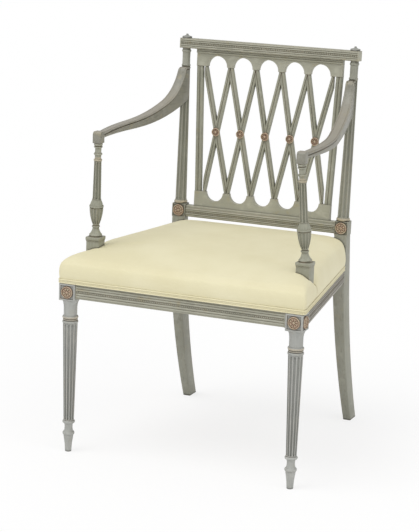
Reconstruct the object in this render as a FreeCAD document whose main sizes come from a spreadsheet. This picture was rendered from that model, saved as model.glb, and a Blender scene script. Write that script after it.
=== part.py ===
# Painted open armchair with a lattice back, turned and fluted legs and an upholstered seat.
# Millimetres. The chair faces -Y, +X is the viewer's right, +Z is up. The origin is on the
# floor, under the middle of the chair's box. Pieces are laid out from the plane through the
# two front leg axes, and place() moves that plane to its distance from the origin.
import FreeCAD, Part
import math
import os
import re
import Sketcher

V = FreeCAD.Vector

sizes = {
    # Plan and heights of the frame
    "front_leg_spread": 516.6,
    "post_spread": 397.6,
    "seat_depth": 430.5,
    "rail_top": 377,
    "rail_height": 31,
    "back_rake_deg": 2.6,
    "post_lean_deg": 0.57,
    # Fits between pieces
    "shoulder_gap": 0.2,
    "joint_clear": 0.2,
    "rest_gap": 0.3,
    "overrun": 40,
    # Front legs, turned below a square block
    "front_block_side": 38,
    "front_block_height": 37,
    "tip_dia": 14,
    "shin_low_z": 18,
    "shin_low_dia": 16,
    "shin_dia": 22,
    "collar_z": 42,
    "collar_dia": 26,
    "collar_thick": 7,
    "cavetto_dia": 18,
    "ankle_z": 68,
    "ankle_dia": 27.5,
    "ankle_thick": 7,
    "shaft_low_dia": 22.5,
    "shaft_high_dia": 31.5,
    "low_ring_drop": 85.5,
    "high_ring_drop": 75,
    "leg_ring_dia": 34.5,
    "leg_ring_thick": 6,
    "neck_drop": 55,
    "neck_dia": 29,
    "bell_dia": 37,
    "leg_flute_count": 12,
    "leg_flute_low_width": 4,
    "leg_flute_high_width": 5.6,
    "flute_depth": 1.5,
    # Rosettes in sunk square panels
    "rosette_dia": 24,
    "rosette_thick": 3.5,
    "rosette_proud": 2,
    "rosette_rim": 3,
    "panel_side": 27,
    # Seat rails
    "front_rail_thick": 30,
    "side_rail_thick": 40,
    "rear_rail_thick": 20,
    "rail_inset": 2,
    "rail_lip": 3,
    "bead_width": 4.5,
    "reed_sink": 2.2,
    "tenon_long": 15,
    "tenon_thick": 9,
    "tenon_shoulder": 6,
    "front_tenon_in": 10.5,
    "side_tenon_in": 9,
    # Rear legs, each one length of wood from the floor to the crest
    "post_width": 32,
    "post_depth": 25,
    "post_plain_width": 30,
    "post_block_rise": 78.5,
    "post_block_height": 31,
    "foot_setback": 104,
    "foot_width": 17.5,
    "foot_depth": 38,
    "foot_splay": 5,
    "sweep_depth": 40,
    "sweep_sag": 14.3,
    "post_foot_ring_dia": 31,
    "post_foot_ring_thick": 7,
    "post_low_dia": 26.5,
    "post_high_dia": 19.4,
    "post_shaft_height": 308,
    "post_ring_dia": 20.6,
    "post_ring_thick": 5,
    "post_neck_dia": 17.8,
    "post_neck_height": 27.5,
    "post_cap_ring_dia": 21,
    "post_cap_ring_thick": 6,
    "post_pin_dia": 10,
    "post_pin_height": 12,
    "post_flute_count": 8,
    "post_flute_low_width": 6,
    "post_flute_high_width": 4.4,
    # Crest rail and lower back rail
    "crest_over": 15.7,
    "crest_height": 22.5,
    "crest_front": 12.5,
    "crest_back": 11.5,
    "lower_rail_low": 80,
    "lower_rail_height": 26,
    "lower_rail_front": 10.5,
    "back_fillet": 5,
    "cap_dia": 22.5,
    "cap_thick": 4.5,
    "cap_tip_height": 9,
    "cap_tip_dia": 4,
    "cap_pin_dia": 6,
    "cap_pin_long": 7,
    # Splat: two arcaded boards, two stiles and ten crossing bars
    "splat_thick": 11.5,
    "splat_top_in": 23.3,
    "splat_low_in": 32.8,
    "arch_count": 5,
    "end_pendant_in": 20,
    "pendant_width": 15,
    "pendant_lift": 38,
    "low_pendant_rise": 35,
    "top_arch_rise": 24.5,
    "low_arch_rise": 21,
    "band_height": 9,
    "band_proud": 4,
    "tongue": 5,
    "stile_width": 15,
    "stile_pin": 8,
    "bar_width": 11.5,
    "bar_thick": 10,
    "bar_groove": 1.6,
    "bar_gap": 0.25,
    "small_rosette_dia": 19,
    "small_rosette_thick": 3.6,
    # Arms
    "arm_tip": 54,
    "arm_block": 19,
    "arm_block_low_rise": 295,
    "arm_block_top_rise": 320,
    "arm_block_round": 6,
    "arm_front_top_rise": 316,
    "arm_front_under_rise": 304,
    "arm_level_ahead": 215.5,
    "arm_level_top_rise": 323,
    "arm_level_under_rise": 305,
    "arm_elbow_ahead": 65.5,
    "arm_elbow_rise": 354,
    "arm_elbow_via_ahead": 130.5,
    "arm_elbow_via_rise": 334.5,
    "arm_sweep_via_ahead": 21.5,
    "arm_sweep_via_rise": 386,
    "arm_head_ahead": 0.5,
    "arm_head_rise": 423,
    "arm_under_via_ahead": 95.5,
    "arm_under_via_rise": 316,
    "arm_heel_rise": 345,
    "arm_front_width": 19,
    "arm_mid_width": 24,
    "arm_back_width": 20.5,
    "arm_bow_in": 21.3,
    "arm_bow_y": 140,
    "arm_turn_in": 32.8,
    "arm_turn_ahead": 158.5,
    "arm_hip_out": 11.2,
    "arm_hip_ahead": 62.5,
    "arm_front_in": 27.3,
    "arm_dowel_dia": 8,
    "arm_dowel_long": 20,
    "arm_dowel_rise": 383,
    "arm_cheek": 5.5,
    # Arm supports, turned balusters on square plinths
    "plinth_in": 16.8,
    "plinth_y": 80,
    "plinth_side": 30,
    "plinth_cap_side": 33,
    "plinth_cap_thick": 8,
    "plinth_rise": 88.5,
    "plinth_tenon_side": 16,
    "plinth_tenon_long": 15,
    "bell_foot_dia": 28,
    "bell_foot_height": 20,
    "waist_dia": 13.5,
    "urn_low": 26,
    "urn_belly": 48,
    "urn_belly_dia": 28,
    "urn_shoulder": 68,
    "urn_shoulder_dia": 31,
    "urn_top": 84,
    "stem_low_dia": 18.5,
    "stem_high_dia": 16,
    "stem_high": 168,
    "stem_ring_dia": 18.6,
    "stem_ring_thick": 4.5,
    "stem_neck": 186,
    "stem_neck_dia": 13.6,
    "stem_cap_thick": 7,
    "stem_pin_dia": 8,
    "stem_pin_long": 12,
    "stem_flute_count": 8,
    "stem_flute_width": 3.6,
    # Corner blocks
    "corner_leg": 46,
    "corner_edge": 14,
    "corner_height": 24,
    "corner_drop": 4,
    # Seat: webbing, canvas, stuffed cover and hem
    "strap_width": 50,
    "strap_thick": 1.2,
    "strap_count": 5,
    "cross_strap_count": 4,
    "strap_end_in": 8,
    "canvas_thick": 1,
    "canvas_margin": 3,
    "cover_inset": 1.3,
    "cover_side_height": 36,
    "cover_waist": 1.2,
    "cover_shoulder": 30,
    "cover_crown": 14,
    "cover_corner": 14,
    "hem_height": 9.5,
    "hem_thick": 1.5,
}

# Shares of a size, chosen by eye
arc_share = 0.293
flute_share = 0.5
crown_shares = ((0.35, 0.58), (0.8, 0.96))

doc = FreeCAD.newDocument("Armchair")
sheet = doc.addObject("Spreadsheet::Sheet", "Sizes")
for row, (alias, amount) in enumerate(sizes.items(), 1):
    sheet.set(f"A{row}", alias)
    sheet.set(f"B{row}", str(amount))
    sheet.setAlias(f"B{row}", alias)
doc.recompute()

pieces = []


def number(formula):
    """Value of a formula written with the names of the sizes."""
    return float(sheet.evalExpression(formula))


def bound(formula):
    """The same formula as other objects of the document write it."""
    return re.sub(r"\b([a-z][a-z_0-9]*)\b(?!\()", r"Sizes.\1", formula)


def tie(thing, prop, formula):
    thing.setExpression(prop, bound(formula))


def body(name, kept=True):
    """One piece of the chair. A kept piece is written out under its name."""
    piece = doc.addObject("PartDesign::Body", name)
    piece.Label = name
    if kept:
        pieces.append(piece)
    return piece


def sketch(piece, plane, height="0"):
    """Empty sketch on one of the piece's own planes, lifted along its normal."""
    drawing = piece.newObject("Sketcher::SketchObject", "outline")
    base = [f for f in piece.Origin.OriginFeatures if f.Role == plane + "_Plane"][0]
    drawing.AttachmentSupport = [(base, "")]
    drawing.MapMode = "FlatFace"
    if height != "0":
        tie(drawing, "AttachmentOffset.Base.z", height)
    return drawing


def pin_down(rules, geometry, end, across, up):
    """Rules that hold one point of a sketch at its two formulas."""
    for kind, formula, axis in (("DistanceX", across, -2), ("DistanceY", up, -1)):
        if formula == "0":
            rules.append((Sketcher.Constraint("PointOnObject", geometry, end, axis), None))
        else:
            rules.append((Sketcher.Constraint(kind, -1, 1, geometry, end, number(formula)), formula))


def set_rules(drawing, rules):
    """Adds the rules to the sketch in one go, then ties those that have a formula."""
    first = drawing.ConstraintCount
    drawing.addConstraint([rule for rule, formula in rules])
    for i, (rule, formula) in enumerate(rules):
        if formula:
            tie(drawing, f"Constraints[{first + i}]", formula)


def draw(drawing, path):
    """Closed outline. Each stop is (across, up), or (across, up, via across, via up) for an arc."""
    stops = [V(number(stop[0]), number(stop[1]), 0) for stop in path]
    first = drawing.GeometryCount
    ends = []
    for i, stop in enumerate(path):
        start, finish = stops[i - 1], stops[i]
        if len(stop) == 2:
            drawing.addGeometry(Part.LineSegment(start, finish))
            ends.append((1, 2))
        else:
            via = V(number(stop[2]), number(stop[3]), 0)
            if (via - start).cross(finish - via).z > 0:
                drawing.addGeometry(Part.Arc(start, via, finish))
                ends.append((1, 2))
            else:
                drawing.addGeometry(Part.Arc(finish, via, start))
                ends.append((2, 1))
    rules = []
    for i, stop in enumerate(path):
        after = (i + 1) % len(path)
        rules.append((Sketcher.Constraint(
            "Coincident", first + i, ends[i][1], first + after, ends[after][0]), None))
        pin_down(rules, first + i, ends[i][1], stop[0], stop[1])
    for i, stop in enumerate(path):
        if len(stop) == 4:
            via = V(number(stop[2]), number(stop[3]), 0)
            spot = drawing.addGeometry(Part.Point(via), True)
            rules.append((Sketcher.Constraint("PointOnObject", spot, 1, first + i), None))
            pin_down(rules, spot, 1, stop[2], stop[3])
    set_rules(drawing, rules)


def draw_circle(drawing, across, up, radius):
    middle = V(number(across), number(up), 0)
    circle = drawing.addGeometry(Part.Circle(middle, V(0, 0, 1), number(radius)))
    rules = [(Sketcher.Constraint("Radius", circle, number(radius)), radius)]
    pin_down(rules, circle, 3, across, up)
    set_rules(drawing, rules)


def rectangle(left, low, right, high):
    return [(left, low), (right, low), (right, high), (left, high)]


def solid(piece, kind, drawing, length, both=True, reverse=False):
    """Pad or pocket of a sketch. both spreads the length evenly to the two sides."""
    feature = piece.newObject("PartDesign::" + kind, kind)
    feature.Profile = drawing
    tie(feature, "Length", length)
    feature.SideType = "Symmetric" if both else "One side"
    feature.Reversed = reverse
    drawing.Visibility = False
    return feature


def prism(piece, kind, plane, path, length, height="0", both=True, reverse=False):
    drawing = sketch(piece, plane, height)
    draw(drawing, path)
    return solid(piece, kind, drawing, length, both, reverse)


def drill(piece, plane, across, up, radius, length, height="0", both=True, kind="Pocket"):
    drawing = sketch(piece, plane, height)
    draw_circle(drawing, across, up, radius)
    return solid(piece, kind, drawing, length, both)


def turn(piece, path, kind="Revolution", axis="V_Axis"):
    """Lathe work: the half profile (radius, height) goes round the piece's upright axis."""
    drawing = sketch(piece, "XZ")
    draw(drawing, path)
    feature = piece.newObject("PartDesign::" + kind, kind)
    feature.Profile = drawing
    feature.ReferenceAxis = (drawing, [axis])
    feature.Angle = 360
    return feature


def bead(root, full, low, high):
    """Three stops of a turned ring that slopes up to its ridge and down again."""
    return [(root, low), (full, f"(({low}) + ({high})) / 2"), (root, high)]


def fluted_shaft(piece, low, high, radii, widths, count):
    """Tapered shaft with a hollow flute at each equal turn, between two turned rings."""
    total = int(number(count))
    sections = []
    for level, radius, width in ((low, radii[0], widths[0]), (high, radii[1], widths[1])):
        drawing = sketch(piece, "XY", level)
        r, half = f"({radius})", f"({width} / 2)"
        inward = f"sqrt({r} ^ 2 - {half} ^ 2)"
        path = []
        for i in range(total):
            c, s = cos_sin(i / total)
            land_c, land_s = cos_sin((i - 0.5) / total)
            path.append((f"{inward} * {c} + {half} * {s}", f"{inward} * {s} - {half} * {c}",
                         f"{r} * {land_c}", f"{r} * {land_s}"))
            deep = f"({r} - flute_depth)"
            for across, out in ((-flute_share, deep), (flute_share, deep), (1, inward)):
                side = f"({half} * {across})"
                path.append((f"{out} * {c} - {side} * {s}", f"{out} * {s} + {side} * {c}"))
        draw(drawing, path)
        sections.append(drawing)
    shaft = piece.newObject("PartDesign::AdditiveLoft", "fluted_shaft")
    shaft.Profile = sections[0]
    shaft.Sections = sections[1:]
    shaft.Ruled = True
    return shaft


def cos_sin(turn_share):
    """Direction numbers of a share of a full turn, as written in a formula."""
    angle = 2 * math.pi * turn_share
    return f"({math.cos(angle):.7f})", f"({math.sin(angle):.7f})"


def place(thing, x="0", y="0", z="0", tilt=None):
    """Puts a piece down. y counts back from the front leg axes."""
    middle = ("(seat_depth + foot_setback + foot_depth / 2"
              " - front_block_side / 2 - rosette_proud) / 2")
    tie(thing, "Placement.Base.x", x)
    tie(thing, "Placement.Base.y", f"({y}) - {middle}")
    tie(thing, "Placement.Base.z", z)
    if tilt:
        for letter, amount in zip("xyz", tilt[0]):
            tie(thing, "Placement.Rotation.Axis." + letter, amount)
        tie(thing, "Placement.Rotation.Angle", tilt[1])


def join(kind, name, things, kept=True):
    """Fuse, cut or compound of other shapes."""
    whole = doc.addObject("Part::" + kind, name)
    if kind == "Cut":
        whole.Base, whole.Tool = things
    elif kind == "Compound":
        whole.Links = things
    else:
        whole.Shapes = things
    whole.Label = name
    if kept:
        pieces.append(whole)
    return whole


rake = (("-1", "0", "0"), "back_rake_deg")


def place_back(thing, x="0", depth="0", rise="0"):
    """Puts a piece in the leaning plane of the back: depth is square to it, rise runs up it."""
    place(thing, x,
          f"seat_depth + ({depth}) * cos(back_rake_deg) + ({rise}) * sin(back_rake_deg)",
          f"rail_top + ({rise}) * cos(back_rake_deg) - ({depth}) * sin(back_rake_deg)", rake)


def reeds(front, low, high, inward, lip="rail_lip"):
    """Moulded face going up: lip, reed, small bead, reed, lip."""
    reed = f"((({high}) - ({low})) - 2 * ({lip}) - bead_width) / 2"
    root = f"({front}) + ({inward}) * reed_sink"
    half = f"({front}) + ({inward}) * reed_sink * 0.5"
    a = f"({low}) + ({lip})"
    return [
        (root, low),
        (root, a),
        (root, f"{a} + {reed}", front, f"{a} + {reed} / 2"),
        (root, f"{a} + {reed} + bead_width", half, f"{a} + {reed} + bead_width / 2"),
        (root, f"({high}) - ({lip})", front, f"({high}) - ({lip}) - {reed} / 2"),
        (root, high),
    ]


sides = (("left", -1), ("right", 1))
rail_low = "rail_top - rail_height"
block_low = "rail_top - front_block_height"
front_run = "seat_depth - post_depth / 2 - front_block_side / 2"
rail_out_front = "front_leg_spread / 2 + front_block_side / 2 - rail_inset"
rail_out_rear = "post_spread / 2 + post_width / 2 - rail_inset / 2"
rail_slope = f"(({rail_out_front}) - ({rail_out_rear})) / ({front_run})"


def rail_out(y):
    """How far out the side rail's face lies at a distance behind the front leg axes."""
    return f"({rail_out_front} - ({rail_slope}) * (({y}) - front_block_side / 2))"


def over_rail(rise):
    """Height of something above the top of the seat rails."""
    return f"(rail_top + {rise})"


def ahead(run):
    """Depth of something in front of the rear posts."""
    return f"(seat_depth - {run})"


def in_from_leg(way):
    """Distance to the side of something further in than the front leg axes."""
    return f"(front_leg_spread / 2 - {way})"


plinth_x = in_from_leg("plinth_in")
plinth_top = over_rail("plinth_rise")
arm_front_x = in_from_leg("arm_front_in")
arm_low = over_rail("arm_block_low_rise")


# Front legs: a square block above a turned, fluted and tapered leg
for side, s in sides:
    leg = body("front_leg_" + side)
    shaft_low = "(ankle_z + ankle_thick / 2)"
    low_ring = "(rail_top - low_ring_drop)"
    high_ring = "(rail_top - high_ring_drop)"
    neck_high = "(rail_top - neck_drop)"
    shaft_high = f"({low_ring} - leg_ring_thick / 2)"
    turn(leg, [
        ("0", "0"),
        ("tip_dia / 2", "0"),
        ("shin_low_dia / 2", "shin_low_z"),
        *bead("shin_dia / 2", "collar_dia / 2",
              "collar_z - collar_thick / 2", "collar_z + collar_thick / 2"),
        ("cavetto_dia / 2", "(collar_z + ankle_z) / 2"),
        *bead("shaft_low_dia / 2", "ankle_dia / 2",
              "ankle_z - ankle_thick / 2", "ankle_z + ankle_thick / 2"),
        ("tip_dia / 2", shaft_low),
        ("tip_dia / 2", shaft_high),
        *bead("neck_dia / 2", "leg_ring_dia / 2", shaft_high, f"{low_ring} + leg_ring_thick / 2"),
        *bead("neck_dia / 2", "leg_ring_dia / 2",
              f"{high_ring} - leg_ring_thick / 2", f"{high_ring} + leg_ring_thick / 2"),
        ("neck_dia / 2", neck_high),
        (f"neck_dia / 2 + (bell_dia - neck_dia) / 2 * {arc_share}",
         f"{neck_high} + ({block_low} - {neck_high}) * {1 - arc_share}"),
        ("bell_dia / 2", block_low),
        ("0", block_low),
    ])
    fluted_shaft(leg, shaft_low, shaft_high, ("shaft_low_dia / 2", "shaft_high_dia / 2"),
                 ("leg_flute_low_width", "leg_flute_high_width"), "leg_flute_count")
    half = "front_block_side / 2"
    prism(leg, "Pad", "XY", rectangle(f"-{half}", f"-{half}", half, half),
          "front_block_height", height=block_low, both=False)
    # Sunk panels for the rosettes on the front and on the outer face
    low = "rail_top - front_block_height / 2 - panel_side / 2"
    high = "rail_top - front_block_height / 2 + panel_side / 2"
    sunk = "2 * (rosette_thick - rosette_proud)"
    prism(leg, "Pocket", "XZ", rectangle("-panel_side / 2", low, "panel_side / 2", high),
          sunk, height=half)
    prism(leg, "Pocket", "YZ", rectangle("-panel_side / 2", low, "panel_side / 2", high),
          sunk, height=f"{s} * {half}")
    # Mortises for the front rail and the side rail
    low = f"{rail_low} + tenon_shoulder - joint_clear"
    high = "rail_top - tenon_shoulder + joint_clear"
    start = "rail_inset + front_tenon_in - front_block_side / 2"
    prism(leg, "Pocket", "YZ", rectangle(
        f"{start} - tenon_thick / 2 - joint_clear", low, f"{start} + tenon_thick / 2 + joint_clear", high),
        "2 * (tenon_long + joint_clear)", height=f"{-s} * {half}")
    at = f"{s} * (front_block_side / 2 - rail_inset - side_tenon_in)"
    prism(leg, "Pocket", "XZ", rectangle(
        f"{at} - tenon_thick / 2 - joint_clear", low, f"{at} + tenon_thick / 2 + joint_clear", high),
        "2 * (tenon_long + joint_clear)", height=f"-{half}")
    place(leg, f"{s} * front_leg_spread / 2")

# Front seat rail, moulded on its face, with a tenon at each end
rail = body("front_seat_rail")
face = "rail_inset - front_block_side / 2"
length = "front_leg_spread - front_block_side - 2 * shoulder_gap"
prism(rail, "Pad", "YZ", reeds(face, rail_low, "rail_top", "1") + [
    (f"{face} + front_rail_thick", "rail_top"), (f"{face} + front_rail_thick", rail_low)], length)
at = f"{face} + front_tenon_in"
prism(rail, "Pad", "YZ", rectangle(
    f"{at} - tenon_thick / 2", f"{rail_low} + tenon_shoulder",
    f"{at} + tenon_thick / 2", "rail_top - tenon_shoulder"), f"{length} + 2 * tenon_long")
place(rail)

# Side seat rails run back and inward from the front block to the rear post
for side, s in sides:
    rail = body("side_seat_rail_" + side)
    blank = rail.newObject("PartDesign::AdditiveLoft", "blank")
    sections = []
    for y, out in (("front_block_side / 2 + shoulder_gap", rail_out_front),
                   ("seat_depth - post_depth / 2 - shoulder_gap", rail_out_rear)):
        drawing = sketch(rail, "XZ", f"-({y})")
        face = f"{s} * ({out})"
        inner = f"{s} * ({out} - side_rail_thick)"
        draw(drawing, reeds(face, rail_low, "rail_top", str(-s)) + [
            (inner, "rail_top"), (inner, rail_low)])
        sections.append(drawing)
    blank.Profile = sections[0]
    blank.Sections = sections[1:]
    blank.Ruled = True
    for y, out in (("front_block_side / 2", rail_out_front),
                   ("seat_depth - post_depth / 2", rail_out_rear)):
        at = f"{s} * ({out} - side_tenon_in)"
        prism(rail, "Pad", "XZ", rectangle(
            f"{at} - tenon_thick / 2", f"{rail_low} + tenon_shoulder",
            f"{at} + tenon_thick / 2", "rail_top - tenon_shoulder"), "2 * tenon_long", height=f"-({y})")
    # Mortise in the top edge for the arm support
    half = "(plinth_tenon_side / 2 + joint_clear)"
    prism(rail, "Pocket", "XY", rectangle(
        f"{s} * {plinth_x} - {half}", f"plinth_y - {half}",
        f"{s} * {plinth_x} + {half}", f"plinth_y + {half}"),
        "2 * (plinth_tenon_long + joint_clear)", height="rail_top")
    place(rail)

# Rear seat rail
rail = body("rear_seat_rail")
post_taper = "(post_plain_width / 2 - foot_width / 2 + foot_splay) / (rail_top + post_block_rise)"
post_inner = f"(post_plain_width / 2 - post_block_rise * {post_taper})"
length = f"post_spread - 2 * {post_inner} - 2 * shoulder_gap"
prism(rail, "Pad", "YZ", rectangle(
    "-rear_rail_thick / 2", rail_low, "rear_rail_thick / 2", "rail_top"), length)
prism(rail, "Pad", "YZ", rectangle(
    "-tenon_thick / 2", f"{rail_low} + tenon_shoulder", "tenon_thick / 2", "rail_top - tenon_shoulder"),
    "post_spread - post_width - 2 * shoulder_gap + 2 * (tenon_long - tenon_thick / 4)")
place(rail, y="seat_depth")

# Rear legs: a swept square leg below, a leaning turned post above, in one length
block_top = "(rail_top + post_block_rise + post_block_height)"
lean = "tan(back_rake_deg)"
column_low = "post_foot_ring_thick"
column_high = f"({column_low} + post_shaft_height)"
column_ring = f"({column_high} + post_ring_thick / 2)"
column_neck = f"({column_ring} + post_ring_thick / 2 + post_neck_height)"
column_top = f"({column_neck} + post_cap_ring_thick * 1.5)"
rear_legs = {}


def place_column(thing, s):
    """Stands a turned piece on the post block, leaning back and a little outward."""
    place(thing, f"{s} * post_spread / 2",
          f"seat_depth + ({block_top} - rail_top) * {lean}", block_top,
          (("-back_rake_deg", f"{s} * post_lean_deg", "0"),
           "sqrt(back_rake_deg ^ 2 + post_lean_deg ^ 2)"))


for side, s in sides:
    lower = body("rear_leg_lower_" + side, kept=False)
    middle = f"({rail_low}) / 2"
    front_via = "(foot_setback - foot_depth / 2 - post_depth / 2) / 2 - sweep_sag"
    rear_via = f"{front_via} + (foot_depth + sweep_depth) / 2"
    low_shift = f"post_block_rise * {lean}"
    top_shift = f"({block_top} - rail_top) * {lean}"
    prism(lower, "Pad", "YZ", [
        ("foot_setback - foot_depth / 2", "0", front_via, middle),
        ("foot_setback + foot_depth / 2", "0"),
        ("sweep_depth - post_depth / 2", rail_low, rear_via, middle),
        (f"post_depth / 2 + {low_shift}", over_rail("post_block_rise")),
        (f"post_depth / 2 + {top_shift}", block_top),
        (f"-post_depth / 2 + {top_shift}", block_top),
        ("-post_depth / 2", "rail_top"),
        ("-post_depth / 2", rail_low),
    ], "post_width")
    # Both sides are planed back below the block, and taper to a foot that stands outward
    for edge in (-1, 1):
        prism(lower, "Pocket", "XZ", [
            (f"{edge} * post_plain_width / 2", over_rail("post_block_rise")),
            (f"{edge} * (post_width / 2 + overrun)", over_rail("post_block_rise")),
            (f"{edge} * (post_width / 2 + overrun)", "-overrun"),
            (f"{edge} * foot_width / 2 + {s} * foot_splay", "-overrun"),
            (f"{edge} * foot_width / 2 + {s} * foot_splay", "0"),
        ], "2 * (foot_setback + foot_depth + overrun)")
    # Mortises for the side rail in front and the rear rail on the inner face
    low = f"{rail_low} + tenon_shoulder - joint_clear"
    high = "rail_top - tenon_shoulder + joint_clear"
    at = f"{s} * ({rail_out_rear} - side_tenon_in - post_spread / 2)"
    prism(lower, "Pocket", "XZ", rectangle(
        f"{at} - tenon_thick / 2 - joint_clear", low, f"{at} + tenon_thick / 2 + joint_clear", high),
        "2 * (tenon_long + joint_clear)", height="post_depth / 2")
    prism(lower, "Pocket", "YZ", rectangle(
        "-tenon_thick / 2 - joint_clear", low, "tenon_thick / 2 + joint_clear", high),
        "2 * (tenon_long - tenon_thick / 4 + joint_clear)", height=f"{-s} * post_width / 2")
    # Sunk panel for the rosette
    middle = f"({block_top} - post_block_height / 2)"
    sunk = prism(lower, "Pocket", "XZ", rectangle(
        "-panel_side / 2", f"{middle} - panel_side / 2", "panel_side / 2", f"{middle} + panel_side / 2"),
        "2 * (rosette_thick - rosette_proud)",
        height=f"post_depth / 2 - ({middle} - rail_top) * {lean}")
    place(lower, f"{s} * post_spread / 2", "seat_depth")

    column = body("rear_leg_column_" + side, kept=False)
    turn(column, [
        ("0", "-rail_inset / 2"),
        ("post_low_dia / 2", "-rail_inset / 2"),
        *bead("post_low_dia / 2", "post_foot_ring_dia / 2", "0", "post_foot_ring_thick"),
        ("post_pin_dia / 2", column_low),
        ("post_pin_dia / 2", column_high),
        *bead("post_neck_dia / 2", "post_ring_dia / 2", column_high, f"{column_high} + post_ring_thick"),
        *bead("post_neck_dia / 2", "post_cap_ring_dia / 2",
              column_neck, f"{column_neck} + post_cap_ring_thick"),
        ("post_neck_dia / 2", column_top),
        ("post_pin_dia / 2", column_top),
        ("post_pin_dia / 2", f"{column_top} + post_pin_height"),
        ("0", f"{column_top} + post_pin_height"),
    ])
    fluted_shaft(column, column_low, column_high, ("post_low_dia / 2", "post_high_dia / 2"),
                 ("post_flute_low_width", "post_flute_high_width"), "post_flute_count")
    place_column(column, s)
    rear_legs[side] = join("MultiFuse", "rear_leg_whole_" + side, [lower, column], kept=False)

crest_low = f"(({block_top} - rail_top) / cos(back_rake_deg) + {column_top} + rest_gap)"
crest_high = f"({crest_low} + crest_height)"
lower_rail_high = "(lower_rail_low + lower_rail_height)"
arm_post_y = f"(seat_depth + arm_dowel_rise * {lean})"
arm_post_x = f"(post_spread / 2 + (rail_top + arm_dowel_rise - {block_top}) * tan(post_lean_deg))"

# Dowels that hold the arms to the posts, and the holes for them
dowel_holes = {}
for side, s in sides:
    for name, extra in (("arm_dowel_", "0"), ("arm_dowel_hole_", "joint_clear")):
        dowel = doc.addObject("Part::Cylinder", name + side)
        dowel.Label = name + side
        tie(dowel, "Radius", f"arm_dowel_dia / 2 + {extra}")
        tie(dowel, "Height", f"arm_dowel_long + 2 * {extra}")
        place(dowel, f"{s} * {arm_post_x}", f"{arm_post_y} + arm_dowel_dia / 2 + {extra}",
              over_rail("arm_dowel_rise"), (("1", "0", "0"), "90"))
        if extra == "0":
            pieces.append(dowel)
        else:
            dowel_holes[side] = dowel

# Each rear leg is cut for its dowel and for the tenon of the lower back rail
for side, s in sides:
    mortise = doc.addObject("Part::Box", "lower_rail_mortise_" + side)
    tie(mortise, "Length", "2 * (tenon_long + joint_clear)")
    tie(mortise, "Width", "tenon_thick + 2 * joint_clear")
    tie(mortise, "Height", "lower_rail_height - 2 * tenon_shoulder + 2 * joint_clear")
    place_back(mortise, f"{s} * (post_spread / 2 - post_width / 2) - tenon_long - joint_clear",
               "-tenon_thick / 2 - joint_clear", "lower_rail_low + tenon_shoulder - joint_clear")
    tools = join("MultiFuse", "rear_leg_cuts_" + side, [mortise, dowel_holes[side]], kept=False)
    join("Cut", "rear_leg_" + side, [rear_legs[side], tools])

# Lower back rail between the post blocks
rail = body("lower_back_rail")
length = "post_spread - post_width - 2 * shoulder_gap"
face = "-lower_rail_front"
step = f"{lower_rail_high} - back_fillet"
prism(rail, "Pad", "YZ", reeds(face, "lower_rail_low", step, "1", "rail_lip / 2") + [
    (f"{face} + 2 * reed_sink", step),
    (f"{face} + 2 * reed_sink", lower_rail_high),
    ("splat_thick", lower_rail_high),
    ("splat_thick", "lower_rail_low")], length)
prism(rail, "Pad", "YZ", rectangle(
    "-tenon_thick / 2", "lower_rail_low + tenon_shoulder",
    "tenon_thick / 2", f"{lower_rail_high} - tenon_shoulder"), f"{length} + 2 * tenon_long")
prism(rail, "Pocket", "YZ", rectangle(
    "splat_thick / 4 - joint_clear", f"{lower_rail_high} - tongue - joint_clear",
    "splat_thick * 3 / 4 + joint_clear", f"{lower_rail_high} + tongue"),
    "2 * ((post_spread / 2 - splat_low_in) - stile_width + joint_clear)")
place_back(rail)

# Crest rail, set on the pins of both posts
crest = body("crest_rail")
prism(crest, "Pad", "YZ", reeds("-crest_front", crest_low, crest_high, "1", "rail_lip / 2") + [
    ("crest_back", crest_high), ("crest_back", crest_low)], "2 * (post_spread / 2 + crest_over)")
for s in (-1, 1):
    at = f"{s} * (post_spread / 2 + {column_top} * tan(post_lean_deg))"
    drill(crest, "XY", at, "0", "post_pin_dia / 2 + 2 * joint_clear",
          "2 * (post_pin_height + joint_clear)", height=crest_low)
    drill(crest, "XY", at, "0", "cap_pin_dia / 2 + joint_clear",
          "2 * (cap_pin_long + joint_clear)", height=crest_high)
prism(crest, "Pocket", "YZ", rectangle(
    "splat_thick / 4 - joint_clear", f"{crest_low} - tongue",
    "splat_thick * 3 / 4 + joint_clear", f"{crest_low} + tongue + joint_clear"),
    "2 * ((post_spread / 2 - splat_top_in) - stile_width + joint_clear)")
place_back(crest)

# Turned caps with a small tip on the two ends of the crest
for side, s in sides:
    cap = body("post_cap_" + side)
    turn(cap, [
        ("0", "-cap_pin_long"),
        ("cap_pin_dia / 2", "-cap_pin_long"),
        ("cap_pin_dia / 2", "0"),
        ("cap_dia / 2 - cap_thick / 4", "0"),
        ("cap_dia / 2", "cap_thick * 0.75"),
        ("cap_tip_dia / 2", "cap_thick + cap_tip_dia / 4"),
        ("0", "cap_thick + cap_tip_height - cap_tip_dia"),
    ])
    place_back(cap, f"{s} * (post_spread / 2 + {column_top} * tan(post_lean_deg))", "0",
               f"{crest_high} + rest_gap")

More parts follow.
